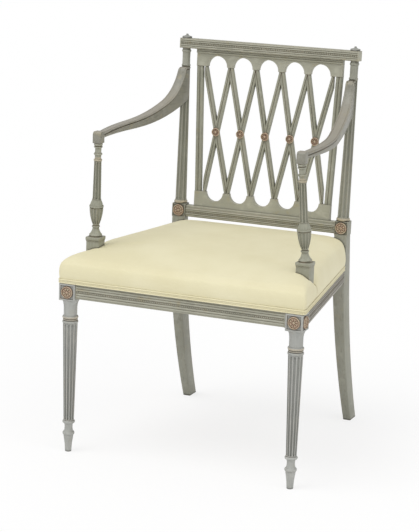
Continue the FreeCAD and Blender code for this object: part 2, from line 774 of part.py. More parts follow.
# Arcaded boards above and below the lattice
pendants_high = f"({crest_low} - pendant_lift)"
pendants_low = f"({lower_rail_high} + low_pendant_rise)"
arches = int(number("arch_count"))
splat_top_half = "(post_spread / 2 - splat_top_in)"
splat_low_half = "(post_spread / 2 - splat_low_in)"
top_pitch = f"(({splat_top_half} - end_pendant_in) * 2 / {arches})"
low_pitch = f"(({splat_low_half} - end_pendant_in) * 2 / {arches})"
for name, pitch, wide, edge, spring, crown, up in (
        ("splat_top_arcade", top_pitch, splat_top_half, f"{crest_low} - rest_gap / 2",
         pendants_high, f"{pendants_high} + top_arch_rise", 1),
        ("splat_low_arcade", low_pitch, splat_low_half, f"{lower_rail_high} + rest_gap / 2",
         pendants_low, f"{pendants_low} - low_arch_rise", -1)):
    board = body(name)
    path = [(f"-{wide}", edge), (f"-{wide}", spring)]
    for i in range(arches):
        middle = f"({i} - ({arches} - 1) / 2) * {pitch}"
        open_half = f"({pitch} - pendant_width) / 2"
        path.append((f"{middle} - {open_half}", spring))
        path.append((f"{middle} + {open_half}", spring, middle, crown))
    path += [(wide, spring), (wide, edge)]
    prism(board, "Pad", "XZ", path, "splat_thick", both=False, reverse=True)
    prism(board, "Pad", "YZ", rectangle(
        "splat_thick / 4", edge, "splat_thick * 3 / 4", f"{edge} + {up} * tongue"),
        f"2 * ({wide} - stile_width)")
    if up == 1:
        low = f"{edge} - band_height"
        prism(board, "Pad", "YZ", [
            ("splat_thick / 2", low),
            ("-band_proud / 2", low),
            ("-band_proud / 2", f"{low} + band_height / 2", "-band_proud", f"{low} + band_height / 4"),
            ("-band_proud / 2", edge, "-band_proud", f"{low} + band_height * 3 / 4"),
            ("splat_thick / 2", edge)], f"2 * {wide}")
    # Small mortises for the pins of the stiles
    for s in (-1, 1):
        prism(board, "Pocket", "XY", rectangle(
            f"{s} * ({wide} - stile_width / 2) - stile_width / 4 - joint_clear",
            "splat_thick / 4 - joint_clear",
            f"{s} * ({wide} - stile_width / 2) + stile_width / 4 + joint_clear",
            "splat_thick * 3 / 4 + joint_clear"), "2 * (stile_pin + joint_clear)", height=spring)
    place_back(board)


def reeded_bar(bar, low_x, high_x, width):
    """Upright bar with two reeds on its face, between the two arcaded boards."""
    front = "(splat_thick - bar_thick) / 2"
    sections = []
    for at, rise in ((low_x, f"{pendants_low} + bar_gap"), (high_x, f"{pendants_high} - bar_gap")):
        drawing = sketch(bar, "XY", rise)
        draw(drawing, [
            (f"{at} - {width} / 2", f"{front} + bar_groove"),
            (f"{at} - {width} / 2 + bar_groove", front),
            (f"{at} - bar_groove", front),
            (at, f"{front} + bar_groove"),
            (f"{at} + bar_groove", front),
            (f"{at} + {width} / 2 - bar_groove", front),
            (f"{at} + {width} / 2", f"{front} + bar_groove"),
            (f"{at} + {width} / 2", f"{front} + bar_thick"),
            (f"{at} - {width} / 2", f"{front} + bar_thick")])
        sections.append(drawing)
    blank = bar.newObject("PartDesign::AdditiveLoft", "blank")
    blank.Profile = sections[0]
    blank.Sections = sections[1:]
    blank.Ruled = True


# Stiles at both sides of the lattice
for side, s in sides:
    stile = body("splat_stile_" + side)
    low_x = f"{s} * ({splat_low_half} - stile_width / 2)"
    high_x = f"{s} * ({splat_top_half} - stile_width / 2)"
    reeded_bar(stile, low_x, high_x, "stile_width")
    for at, rise in ((low_x, f"{pendants_low} + bar_gap"), (high_x, f"{pendants_high} - bar_gap")):
        prism(stile, "Pad", "XY", rectangle(
            f"{at} - stile_width / 4", "splat_thick / 4", f"{at} + stile_width / 4", "splat_thick * 3 / 4"),
            "2 * stile_pin", height=rise)
    place_back(stile)

# Crossing bars: each pair is halved where it crosses, and meets its neighbours at the pendants
half_span = f"(({arches}) / 2)"
low_share = f"{low_pitch} / ({low_pitch} + {top_pitch})"
crossing = f"({pendants_low} + ({pendants_high} - {pendants_low}) * {low_share})"
small_rosettes = []
for i in range(arches):
    ends = {}
    for falls in (True, False):
        top_at = f"({i + (0 if falls else 1)} - {half_span}) * {top_pitch}"
        low_at = f"({i + (1 if falls else 0)} - {half_span}) * {low_pitch}"
        ends[falls] = (f"({low_at})", f"({top_at})")
    for falls in (True, False):
        bar = body(f"lattice_bar_{i + 1}_{'falling' if falls else 'rising'}")
        low_at, top_at = ends[falls]
        reeded_bar(bar, low_at, top_at, "bar_width")
        # Trimmed upright beside the middle of each pendant
        turn_sign = 1 if falls else -1
        for at, rise, away in ((top_at, pendants_high, -turn_sign), (low_at, pendants_low, turn_sign)):
            near = f"{at} - {away} * bar_gap"
            far = f"{at} + {away} * overrun"
            prism(bar, "Pocket", "XZ", rectangle(
                near, f"{rise} - overrun", far, f"{rise} + overrun"), "2 * overrun")
        other_low, other_top = ends[not falls]
        reach = "(bar_width / 2 + bar_gap)"
        path = [
            (f"{other_low} - {reach}", pendants_low),
            (f"{other_low} + {reach}", pendants_low),
            (f"{other_top} + {reach}", pendants_high),
            (f"{other_top} - {reach}", pendants_high)]
        deep = "(splat_thick / 2 + bar_gap / 2)"
        if falls:
            prism(bar, "Pocket", "XZ", path, "overrun", height="bar_gap / 2 - splat_thick / 2",
                  both=False, reverse=False)
        else:
            prism(bar, "Pocket", "XZ", path, "overrun", height=f"-{deep}", both=False, reverse=True)
        place_back(bar)


def rosette(name, dia, thick):
    """Turned patera: flat back, raised rim and a dished face."""
    disc = body(name, kept=False)
    turn(disc, [
        ("0", "0"),
        (f"{dia} / 2", "0"),
        (f"{dia} / 2 - rosette_rim / 2", thick),
        (f"{dia} / 2 - rosette_rim", f"{thick} / 2"),
        ("0", f"{thick} / 2"),
    ])
    return disc


for i in range(arches):
    disc = rosette(f"lattice_rosette_{i + 1}", "small_rosette_dia", "small_rosette_thick")
    middle = f"({i} - ({arches} - 1) / 2) * 2 * {top_pitch} * {low_share}"
    front = "((splat_thick - bar_thick) / 2 - joint_clear)"
    place(disc, middle,
          f"seat_depth + {front} * cos(back_rake_deg) + {crossing} * sin(back_rake_deg)",
          f"rail_top + {crossing} * cos(back_rake_deg) - {front} * sin(back_rake_deg)",
          (("1", "0", "0"), "90 - back_rake_deg"))
    small_rosettes.append(disc)
join("Compound", "lattice_rosettes", small_rosettes)

# Rosettes in the sunk panels of the front leg blocks and of the post blocks
discs = []
sunk = "(rosette_thick - rosette_proud - joint_clear)"
for side, s in sides:
    disc = rosette("front_rosette_" + side, "rosette_dia", "rosette_thick")
    place(disc, f"{s} * front_leg_spread / 2", f"{sunk} - front_block_side / 2",
          "rail_top - front_block_height / 2", (("1", "0", "0"), "90"))
    discs.append(disc)
    disc = rosette("side_rosette_" + side, "rosette_dia", "rosette_thick")
    place(disc, f"{s} * (front_leg_spread / 2 + front_block_side / 2 - {sunk})", "0",
          "rail_top - front_block_height / 2", (("0", str(s), "0"), "90"))
    discs.append(disc)
    disc = rosette("post_rosette_" + side, "rosette_dia", "rosette_thick")
    middle = f"({block_top} - post_block_height / 2)"
    place(disc, f"{s} * post_spread / 2",
          f"seat_depth + ({middle} - rail_top) * {lean} - post_depth / 2 + {sunk}", middle,
          (("1", "0", "0"), "90"))
    discs.append(disc)
join("Compound", "block_rosettes", discs)

# Arm supports: a square plinth on the side rail and a turned, fluted baluster that leans to the arm
lean_x = f"({arm_front_x} - {plinth_x})"
lean_y = "(arm_tip + arm_block / 2 - plinth_y)"
lean_z = "(arm_block_low_rise - plinth_rise)"
stem_length = f"sqrt({lean_x} ^ 2 + {lean_y} ^ 2 + {lean_z} ^ 2)"


def place_stem(thing, s):
    place(thing, f"{s} * {plinth_x}", "plinth_y", plinth_top,
          ((f"-{lean_y}", f"{s} * {lean_x}", "0"),
           f"atan(sqrt({lean_x} ^ 2 + {lean_y} ^ 2) / {lean_z})"))


pin_holes = {}
for side, s in sides:
    plinth = body("arm_plinth_" + side, kept=False)
    cap_low = f"{plinth_top} - plinth_cap_thick"
    for half, low, high in (
            ("plinth_tenon_side / 2", "rail_top - plinth_tenon_long", "rail_top + plinth_cap_thick"),
            ("plinth_side / 2", "rail_top + shoulder_gap", cap_low),
            ("plinth_cap_side / 2", cap_low, plinth_top)):
        prism(plinth, "Pad", "XY", rectangle(f"-{half}", f"-{half}", half, half),
              f"{high} - ({low})", height=low, both=False)
    place(plinth, f"{s} * {plinth_x}", "plinth_y")

    baluster = body("arm_baluster_" + side, kept=False)
    ring_low = "(stem_high + stem_ring_thick)"
    cap_ring = f"({stem_length} - stem_cap_thick / 2)"
    turn(baluster, [
        ("0", "-plinth_cap_thick / 2"),
        ("bell_foot_dia / 2", "-plinth_cap_thick / 2"),
        ("bell_foot_dia / 2", "bell_foot_height / 6"),
        (f"waist_dia / 2 + (bell_foot_dia - waist_dia) / 2 * {arc_share}", "bell_foot_height / 2"),
        ("waist_dia / 2", "bell_foot_height"),
        ("waist_dia / 2", "urn_low"),
        ("urn_shoulder_dia / 2", "urn_shoulder - (urn_top - urn_shoulder) / 4",
         "urn_belly_dia / 2", "urn_belly"),
        ("urn_shoulder_dia / 2", "urn_shoulder + (urn_top - urn_shoulder) / 4",
         "urn_shoulder_dia / 2 + flute_depth / 2", "urn_shoulder"),
        ("stem_low_dia / 2", "urn_top"),
        ("stem_pin_dia / 2", "urn_top"),
        ("stem_pin_dia / 2", "stem_high"),
        *bead("stem_high_dia / 2", "stem_ring_dia / 2", "stem_high", ring_low),
        ("stem_neck_dia / 2", f"{ring_low} + stem_ring_thick / 2"),
        *bead("stem_neck_dia / 2", "stem_ring_dia / 2", "stem_neck - stem_ring_thick", "stem_neck"),
        ("stem_neck_dia / 2", f"{cap_ring} - stem_cap_thick / 2"),
        ("stem_ring_dia / 2", f"{cap_ring} - stem_cap_thick / 4"),
        ("stem_ring_dia / 2", f"{cap_ring} + stem_cap_thick"),
        ("0", f"{cap_ring} + stem_cap_thick"),
    ])
    fluted_shaft(baluster, "urn_top", "stem_high", ("stem_low_dia / 2", "stem_high_dia / 2"),
                 ("stem_flute_width", "stem_flute_width"), "stem_flute_count")
    place_stem(baluster, s)
    # Its top is planed level under the arm, and keeps a pin
    waste = doc.addObject("Part::Box", "arm_baluster_waste_" + side)
    for prop in ("Length", "Width", "Height"):
        tie(waste, prop, "overrun")
    place(waste, f"{s} * {arm_front_x} - overrun / 2", "arm_tip + arm_block / 2 - overrun / 2",
          f"{arm_low} - rest_gap")
    trimmed = join("Cut", "arm_baluster_level_" + side, [baluster, waste], kept=False)
    for name, extra in (("arm_support_pin_", "0"), ("arm_pin_hole_", "joint_clear")):
        pin = body(name + side, kept=False)
        turn(pin, rectangle("0", f"{cap_ring} - stem_cap_thick / 2", f"stem_pin_dia / 2 + {extra}",
                            f"{stem_length} + stem_pin_long + {extra}"))
        place_stem(pin, s)
        if extra == "0":
            join("MultiFuse", "arm_support_" + side, [plinth, trimmed, pin])
        else:
            pin_holes[side] = pin

# Arms: sawn to the side outline, then to the plan, and hollowed where they meet the posts
for side, s in sides:
    arm = body("arm_blank_" + side, kept=False)
    end = f"seat_depth - rail_top * {lean} - arm_cheek"
    block_end = "arm_tip + arm_block"
    top = over_rail("arm_block_top_rise")
    head = over_rail("arm_head_rise")
    heel = over_rail("arm_heel_rise")
    turn_x = in_from_leg("arm_turn_in")
    prism(arm, "Pad", "YZ", [
        ("arm_tip", arm_low),
        ("arm_tip", f"{top} - arm_block_round"),
        ("arm_tip + arm_block_round", top,
         f"arm_tip + arm_block_round * {arc_share}", f"{top} - arm_block_round * {arc_share}"),
        (block_end, top),
        (block_end, over_rail("arm_front_top_rise")),
        (ahead("arm_level_ahead"), over_rail("arm_level_top_rise")),
        (ahead("arm_elbow_ahead"), over_rail("arm_elbow_rise"),
         ahead("arm_elbow_via_ahead"), over_rail("arm_elbow_via_rise")),
        (ahead("arm_head_ahead"), head, ahead("arm_sweep_via_ahead"), over_rail("arm_sweep_via_rise")),
        (f"{end} + {head} * {lean}", head),
        (f"{end} + {heel} * {lean}", heel),
        (ahead("arm_level_ahead"), over_rail("arm_level_under_rise"),
         ahead("arm_under_via_ahead"), over_rail("arm_under_via_rise")),
        (block_end, over_rail("arm_front_under_rise")),
        (block_end, arm_low),
    ], "2 * overrun", height=f"{s} * {turn_x}")
    for edge in (1, -1):
        front_x = f"{s} * ({arm_front_x} + {edge} * arm_front_width / 2)"
        back_x = f"{s} * ({arm_post_x} + {edge} * arm_back_width / 2)"
        waste_x = f"{s} * ({turn_x} + {edge} * 2 * overrun)"
        prism(arm, "Pocket", "XY", [
            (front_x, "-overrun"),
            (front_x, block_end),
            (f"{s} * ({turn_x} + {edge} * arm_mid_width / 2)", ahead("arm_turn_ahead"),
             f"{s} * ({in_from_leg('arm_bow_in')} + {edge} * arm_mid_width / 2)", "arm_bow_y"),
            (back_x, "seat_depth",
             f"{s} * (post_spread / 2 + arm_hip_out + {edge} * (arm_mid_width + arm_back_width) / 4)",
             ahead("arm_hip_ahead")),
            (back_x, "seat_depth + overrun"),
            (waste_x, "seat_depth + overrun"),
            (waste_x, "-overrun"),
        ], f"2 * ({head} - {arm_low})", height=over_rail("arm_level_top_rise"))
    place(arm)
    hollow = body("arm_hollow_" + side, kept=False)
    turn(hollow, [
        ("0", column_low),
        ("post_low_dia / 2 + joint_clear", column_low),
        ("post_high_dia / 2 + joint_clear", column_high),
        ("0", column_high)])
    place_column(hollow, s)
    tools = join("MultiFuse", "arm_cuts_" + side, [hollow, dowel_holes[side], pin_holes[side]], kept=False)
    join("Cut", "arm_" + side, [arm, tools])

# Corner blocks glued behind the joints of the seat rails
for name, wall, into in (
        ("front", "rail_inset - front_block_side / 2 + front_rail_thick", 1),
        ("rear", "seat_depth - rear_rail_thick / 2", -1)):
    for side, s in sides:
        block = body(f"corner_block_{name}_{side}")
        near = f"({wall} + {into} * rest_gap)"
        far = f"({near} + {into} * corner_leg)"
        near_x = f"({rail_out(near)} - side_rail_thick - rest_gap)"
        far_x = f"({rail_out(far)} - side_rail_thick - rest_gap)"
        prism(block, "Pad", "XY", [
            (f"{s} * ({near_x} - corner_leg)", near),
            (f"{s} * {near_x}", near),
            (f"{s} * {far_x}", far),
            (f"{s} * ({far_x} - corner_edge)", far),
            (f"{s} * ({near_x} - corner_leg)", f"{near} + {into} * corner_edge"),
        ], "corner_height", height="rail_top - corner_drop - corner_height", both=False)
        place(block)

# Webbing straps from front to back on the rails, and straps woven across on top of them
web = body("seat_webbing")
straps = int(number("strap_count"))
front_edge = "(rail_inset - front_block_side / 2)"
rear_edge = "(seat_depth + rear_rail_thick / 2)"
web_low = "(rail_top + rest_gap)"
for i in range(straps):
    at = f"({i} - ({straps} - 1) / 2) * (post_spread - post_width - strap_width) / {straps}"
    prism(web, "Pad", "XY", rectangle(
        f"{at} - strap_width / 2", f"{front_edge} + strap_end_in",
        f"{at} + strap_width / 2", f"{rear_edge} - strap_end_in"),
        "strap_thick", height=web_low, both=False)
place(web)
web = body("seat_cross_webbing")
cross_low = f"({web_low} + strap_thick + rest_gap)"
cross_straps = int(number("cross_strap_count"))
for i in range(cross_straps):
    field = f"({ahead('rear_rail_thick / 2')} - ({front_edge} + front_rail_thick))"
    at = f"({front_edge} + front_rail_thick + {i + 0.5} * {field} / {cross_straps})"
    reach = f"({rail_out(f'({at} + strap_width / 2)')} - strap_end_in - plinth_cap_side)"
    prism(web, "Pad", "XY", rectangle(
        f"-{reach}", f"{at} - strap_width / 2", reach, f"{at} + strap_width / 2"),
        "strap_thick", height=cross_low, both=False)
place(web)

# Canvas over the webbing, under the stuffing
canvas_low = f"({cross_low} + strap_thick + rest_gap)"


def inner_outline(margin):
    """Four-sided field inside the rails, following their taper."""
    front = f"({front_edge} + strap_end_in - ({margin}))"
    rear = f"({rear_edge} - strap_end_in + ({margin}))"
    edge = f"(strap_end_in + plinth_cap_side + rail_inset - ({margin}))"
    wide = f"({rail_out(front)} - {edge})"
    narrow = f"({rail_out(rear)} - {edge})"
    return [(f"-{wide}", front), (wide, front), (narrow, rear), (f"-{narrow}", rear)]


canvas = body("seat_canvas")
prism(canvas, "Pad", "XY", inner_outline("0"), "canvas_thick", height=canvas_low, both=False)
place(canvas)


def seat_outline(inset, rear_inset, share="0"):
    """Plan of the stuffed seat, drawn in by an inset or shrunk by a share towards its middle."""
    keep = f"(1 - ({share}))"
    front = f"({front_edge} + cover_inset + ({inset}))"
    rear = f"({rear_edge} - cover_inset - ({rear_inset}))"
    middle = f"(({front_edge} + {rear_edge}) / 2)"
    stops = []
    for s, across, up in ((1, "corner", "front"), (1, "side", "corner"), (1, "side", "rear"),
                          (-1, "side", "rear"), (-1, "side", "corner"), (-1, "corner", "front")):
        y = {"front": front, "corner": f"({front} + cover_corner)", "rear": rear}[up]
        x = f"({rail_out(y)} - cover_inset - ({inset}))"
        if across == "corner":
            x = f"({x} - cover_corner)"
        stops.append((f"{s} * {x} * {keep}", f"{middle} + ({y} - {middle}) * {keep}"))
    for s, i in ((1, 1), (-1, 5)):
        y = f"({front} + cover_corner * {arc_share})"
        x = f"({rail_out(y)} - cover_inset - ({inset}) - cover_corner * {arc_share})"
        stops[i] += (f"{s} * {x} * {keep}", f"{middle} + ({y} - {middle}) * {keep}")
    return stops


def notches(piece, low, high):
    """Cuts the seat free of the rear posts and of the arm plinths."""
    for s in (-1, 1):
        prism(piece, "Pocket", "XY", rectangle(
            f"{s} * (post_spread / 2 - post_width / 2 - rest_gap)",
            "seat_depth - post_depth / 2 - rest_gap",
            f"{s} * (post_spread / 2 + overrun)", "seat_depth + overrun"),
            f"2 * ({high} - ({low}))", height=low)


# Stuffed and covered seat: straight sides, a rolled edge and a crown
cushion = body("seat_cushion")
bottom = "(rail_top + rest_gap)"
tuck = "(hem_thick + rest_gap)"
side_top = "(rail_top + cover_side_height)"
levels = [
    (tuck, "0", bottom),
    (tuck, "0", f"{bottom} + hem_height + rest_gap"),
    ("0", "0", f"{bottom} + hem_height + 2 * hem_thick"),
    ("0", "0", "rail_top + cover_side_height * 0.66"),
]
for turned in (0, 45, 90):
    levels.append((f"cover_waist + cover_shoulder * (1 - cos({turned}))", "0",
                   f"{side_top} + cover_shoulder * sin({turned})"))
for share, height in crown_shares:
    levels.append(("cover_waist + cover_shoulder", str(share),
                   f"{side_top} + cover_shoulder + cover_crown * {height}"))
sections = []
for inset, share, level in levels:
    drawing = sketch(cushion, "XY", level)
    draw(drawing, seat_outline(inset, inset if inset == tuck else f"({inset}) / 2", share))
    sections.append(drawing)
stuffing = cushion.newObject("PartDesign::AdditiveLoft", "stuffing")
stuffing.Profile = sections[0]
stuffing.Sections = sections[1:]
stuffing.Ruled = True
prism(cushion, "Pocket", "XY", inner_outline("canvas_margin"),
      f"{canvas_low} + canvas_thick + rest_gap - {bottom}", height=bottom, both=False, reverse=True)
for s in (-1, 1):
    half = "(plinth_side / 2 + rest_gap)"
    prism(cushion, "Pocket", "XY", rectangle(
        f"{s} * {plinth_x} - {half}", f"plinth_y - {half}",
        f"{s} * {plinth_x} + {half}", f"plinth_y + {half}"),
        "2 * plinth_rise", height=bottom)
notches(cushion, bottom, plinth_top)
place(cushion)

# Hem band round the foot of the cover
hem = body("seat_hem")
prism(hem, "Pad", "XY", seat_outline("0", "0"), "hem_height", height=bottom, both=False)
prism(hem, "Pocket", "XY", seat_outline("hem_thick", "hem_thick"), "4 * hem_height", height=bottom)
notches(hem, bottom, plinth_top)
place(hem)

doc.recompute()
faults = []
for thing in doc.Objects:
    if "Invalid" in thing.State or "Error" in thing.State:
        owner = thing.getParentGeoFeatureGroup()
        faults.append(f"{thing.Label} of {owner.Label if owner else 'the chair'} failed")
for thing in pieces:
    if thing.Shape.isNull() or not thing.Shape.isValid():
        faults.append(thing.Label + " has no sound shape")
for thing in doc.Objects:
    if thing.TypeId in ("PartDesign::Pocket", "PartDesign::Groove") and not faults:
        if thing.BaseFeature.Shape.Volume - thing.Shape.Volume <= 0:
            faults.append(f"{thing.Label} of {thing.getParentGeoFeatureGroup().Label} cuts nothing")
if faults:
    raise RuntimeError("\n".join(faults))
os.makedirs("parts", exist_ok=True)
for thing in pieces:
    thing.Shape.exportStep(f"parts/{thing.Label}.step")
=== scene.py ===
import cmath
from math import copysign, cos, dist, exp, hypot, log, pi, prod, radians, sin, sqrt, tan

import bmesh
import bpy
from mathutils import Matrix, Vector, noise


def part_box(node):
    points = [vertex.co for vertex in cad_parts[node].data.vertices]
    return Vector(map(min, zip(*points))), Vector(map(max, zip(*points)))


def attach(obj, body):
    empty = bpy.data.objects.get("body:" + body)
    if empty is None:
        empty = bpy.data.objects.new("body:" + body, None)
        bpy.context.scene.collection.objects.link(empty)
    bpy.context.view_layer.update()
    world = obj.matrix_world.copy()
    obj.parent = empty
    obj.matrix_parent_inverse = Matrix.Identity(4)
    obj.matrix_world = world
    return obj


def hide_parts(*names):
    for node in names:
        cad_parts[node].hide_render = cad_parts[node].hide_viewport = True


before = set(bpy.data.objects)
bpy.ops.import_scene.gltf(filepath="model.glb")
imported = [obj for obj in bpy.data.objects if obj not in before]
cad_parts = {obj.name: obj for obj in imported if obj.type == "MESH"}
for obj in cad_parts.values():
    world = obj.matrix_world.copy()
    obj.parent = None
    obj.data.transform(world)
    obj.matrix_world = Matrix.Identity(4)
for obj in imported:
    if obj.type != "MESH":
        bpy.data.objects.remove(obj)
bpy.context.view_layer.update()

# Front legs: turned beech in one length with a square block, painted grey green and rubbed.
# Below the block come a hollow neck, two rings, a fluted taper, two collars and a peg foot.
# The front and the outer face of each block have a sunk square for a rosette.
scene = bpy.context.scene
mm = 0.001
sides = (("left", -1), ("right", 1))
leg_low, leg_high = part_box("front_leg_left")
front_y = (leg_low[1] + leg_high[1]) / 2 / mm
rail_top = 377.0


class Coat:
    """A value or colour in a finish. Sums written with it add the nodes that work them out."""

    def __init__(self, tree, socket=None):
        self.tree = tree
        self.socket = socket

    def node(self, kind, settings=None, inputs=None, output=0):
        """Any node, by its type, its settings, and the values or links of its sockets."""
        made = self.tree.nodes.new(kind)
        for name, value in (settings or {}).items():
            setattr(made, name, value)
        for name, value in (inputs or {}).items():
            if isinstance(value, Coat):
                self.tree.links.new(value.socket, made.inputs[name])
            else:
                made.inputs[name].default_value = value
        return Coat(self.tree, made.outputs[output])

    def place(self):
        """Where a point lies on the chair, in metres."""
        return self.node("ShaderNodeTexCoord", output=3)

    def sum(self, operation, a, b=0.0, clamped=False):
        """One Math node on two values."""
        return self.node("ShaderNodeMath", {"operation": operation, "use_clamp": clamped},
                         {0: a, 1: b})

    def __add__(self, other):
        return self.sum("ADD", self, other)

    __radd__ = __add__

    def __sub__(self, other):
        return self.sum("SUBTRACT", self, other)

    def __rsub__(self, other):
        return self.sum("SUBTRACT", other, self)

    def __mul__(self, other):
        return self.sum("MULTIPLY", self, other)

    __rmul__ = __mul__

    def held(self):
        """The same value, kept between 0 and 1."""
        return self.sum("ADD", self, 0.0, True)

    def band(self, low, high):
        """0 below low, 1 above high, and smooth between them."""
        return self.node("ShaderNodeMapRange", {"interpolation_type": "SMOOTHSTEP"},
                         {"Value": self, "From Min": low, "From Max": high})

    def over(self, under, top):
        """Colour top laid over colour under where this value is 1."""
        return self.node("ShaderNodeMix", {"data_type": "RGBA"}, {0: self, 6: under, 7: top}, 2)

    def stretched(self, x, y, z):
        """A place with each of its parts multiplied, which draws a pattern out along one."""
        return self.node("ShaderNodeVectorMath", {"operation": "MULTIPLY"},
                         {0: self, 1: (x, y, z)})

    def cloud(self, size, detail=2.0, rough=0.5):
        """Soft noise from 0 to 1 at this place, with patches of about this size in metres."""
        return self.node("ShaderNodeTexNoise", {"noise_dimensions": "3D"}, {
            "Vector": self, "Scale": 1 / size, "Detail": detail, "Roughness": rough})

    def dot(self, other):
        """1 where two directions agree, and less where they part."""
        return self.node("ShaderNodeVectorMath", {"operation": "DOT_PRODUCT"},
                         {0: self, 1: other}, 1)

    def part(self, axis):
        """One of the three parts of a vector."""
        return self.node("ShaderNodeSeparateXYZ", None, {0: self}, axis)

    def hollow(self, reach, low, high):
        """1 in corners and hollows that are narrower than about this reach in metres."""
        open_share = self.node("ShaderNodeAmbientOcclusion", {"samples": 8}, {"Distance": reach}, 1)
        return (1 - open_share).band(low, high)

    def relief(self, height, normal=None):
        """Normal of a surface raised by a height in metres."""
        inputs = {"Height": height, "Distance": 1.0, "Strength": 1.0}
        if normal:
            inputs["Normal"] = normal
        return self.node("ShaderNodeBump", None, inputs)


def tint(red, green, blue):
    """A colour as it is read off a screen, from 0 to 255, in the render's own terms."""
    def linear(v):
        v = v / 255
        return v / 12.92 if v < 0.04045 else ((v + 0.055) / 1.055) ** 2.4
    return linear(red), linear(green), linear(blue), 1


def finish(name, make, *given, **fixed):
    """A material whose looks come from make, and the values that are the same all over it."""
    made = bpy.data.materials.new(name)
    made.use_nodes = True
    tree = made.node_tree
    skin = tree.nodes["Principled BSDF"]
    for socket, value in fixed.items():
        skin.inputs[socket.replace("_", " ")].default_value = value
    for socket, coat in make(Coat(tree), *given).items():
        tree.links.new(coat.socket, skin.inputs[socket.replace("_", " ")])
    return made


def painted(name, grain, ground, sunk, ochre=0.35, worn_ring=None, rubbed=0.0, polish=0.0):
    """Old paint, glazed brown in its hollows and darkened there by painted shade, lightened by a
    painted highlight along its ridges, and rubbed to wood along its edges.

    sunk deepens the painted shade of its hollows and the painted highlight of its ridges, and
    ochre its yellowing. worn_ring is a pair of heights with bare wood between them, and rubbed
    pales what faces up.
    """
    along = {"x": (0.06, 1, 1), "y": (1, 0.06, 1), "z": (1, 1, 0.06)}[grain]

    def shade(change):
        return tint(*(v + change for v in ground))

    def make(coat):
        place = coat.place()
        facing = coat.node("ShaderNodeNewGeometry", output=1)
        rounded = coat.node("ShaderNodeBevel", {"samples": 6}, {"Radius": 0.9 * mm})
        drift = place.cloud(0.09, 3)
        patches = place.cloud(0.022, 4, 0.6)
        streaks = place.stretched(*along).cloud(0.0035, 3, 0.6)
        specks = place.cloud(0.0022)
        edges = (1 - rounded.dot(facing)).band(0.012, 0.11)
        uneven = 0.5 + 0.8 * patches
        colour = drift.band(0.35, 0.65).over(shade(0), shade(9))
        colour = (patches.band(0.52, 0.72) * 0.5).over(colour, shade(30))
        colour = (streaks.band(0.5, 0.7) * (0.1 + 0.35 * sunk)).over(colour, shade(-30))
        colour = ((1 - patches).band(0.56, 0.7) * ochre).over(colour, tint(166, 155, 122))
        if rubbed:
            upward = (facing.part(2).band(0.55, 0.97) * uneven).held()
            colour = (upward * rubbed).over(colour, tint(168, 161, 148))
        if worn_ring:
            low, high = (height * mm for height in worn_ring)
            height = place.part(2)
            ring = height.band(low, low + mm) * (1 - height.band(high, high + mm))
            colour = (ring * (0.2 + 0.7 * patches).held()).over(colour, tint(196, 180, 152))
        # Painted highlight: the ground lightened along sharp edges and ridges, more as sunk grows
        painted_ridge_highlight = edges * (0.4 + 0.8 * streaks).held()
        colour = (painted_ridge_highlight * (0.35 + 0.65 * sunk)).over(colour, shade(66))
        # Painted shade: the ground darkened in hollows up to about 5 mm across, more as sunk grows
        colour = (coat.hollow(5 * mm, 0.03, 0.3) * sunk).over(colour, shade(-46))
        # Brown glaze in narrow hollows, deepened by painted shade where they close in
        glaze_and_shade = coat.hollow(2 * mm, 0.1, 0.42) * uneven.held()
        colour = (glaze_and_shade * (0.4 + 0.6 * sunk)).over(colour, tint(72, 58, 40))
        worn = edges * (patches * 0.8 + drift * 0.6 + specks * 0.4).band(0.78, 1.06)
        colour = (worn * 0.75).over(colour, tint(184, 158, 122))
        bare = edges * (specks * 0.5 + patches * 0.7).band(0.66, 0.8)
        colour = (bare * 0.75).over(colour, tint(104, 74, 52))
        rough = streaks * (0.12 * mm) + specks * (0.06 * mm) + patches * (0.15 * mm)
        return {"Base_Color": colour, "Roughness": 0.44 + 0.16 * patches - 0.12 * worn,
                "Normal": coat.relief(rough, rounded)}
    return finish(name, make, Specular_IOR_Level=0.45, Coat_Weight=polish, Coat_Roughness=0.2)


def stood(name, data):
    """A new object in the scene."""
    made = bpy.data.objects.new(name, data)
    scene.collection.objects.link(made)
    return made


def shaped(name, shape):
    """An object made of points in millimetres, y back from the front leg axes, and faces."""
    points, faces = shape
    mesh = bpy.data.meshes.new(name)
    mesh.from_pydata([(x * mm, (y + front_y) * mm, z * mm) for x, y, z in points], [], faces)
    return stood(name, mesh)


def piece(name, shape, coat, node, sharp=38):
    """A piece of the chair in its finish, in place of a node of the frame."""
    made = shaped(name, shape)
    mesh = made.data
    mesh.materials.append(coat)
    skin = bmesh.new()
    skin.from_mesh(mesh)
    bmesh.ops.recalc_face_normals(skin, faces=skin.faces[:])
    skin.to_mesh(mesh)
    skin.free()
    mesh.shade_smooth()
    mesh.set_sharp_from_angle(angle=radians(sharp))
    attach(made, "root")
    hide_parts(node)
    return made


def together(*shapes):
    """Several shapes as one."""
    points, faces = [], []
    for more_points, more_faces in shapes:
        first = len(points)
        points += [tuple(p) for p in more_points]
        faces += [tuple(first + i for i in face) for face in more_faces]
    return points, faces


def moved(shape, stand):
    """A shape put in its place by a matrix."""
    points, faces = shape
    return [tuple(stand @ Vector(p)) for p in points], faces


def bead(root, out, low, high, steps=6):
    """Half-round between two heights, from a root out to a ridge, for rings and for reeds."""
    middle, half = (low + high) / 2, (high - low) / 2
    return [(root + (out - root) * sin(pi * i / steps),
             middle - half * cos(pi * i / steps)) for i in range(steps + 1)]


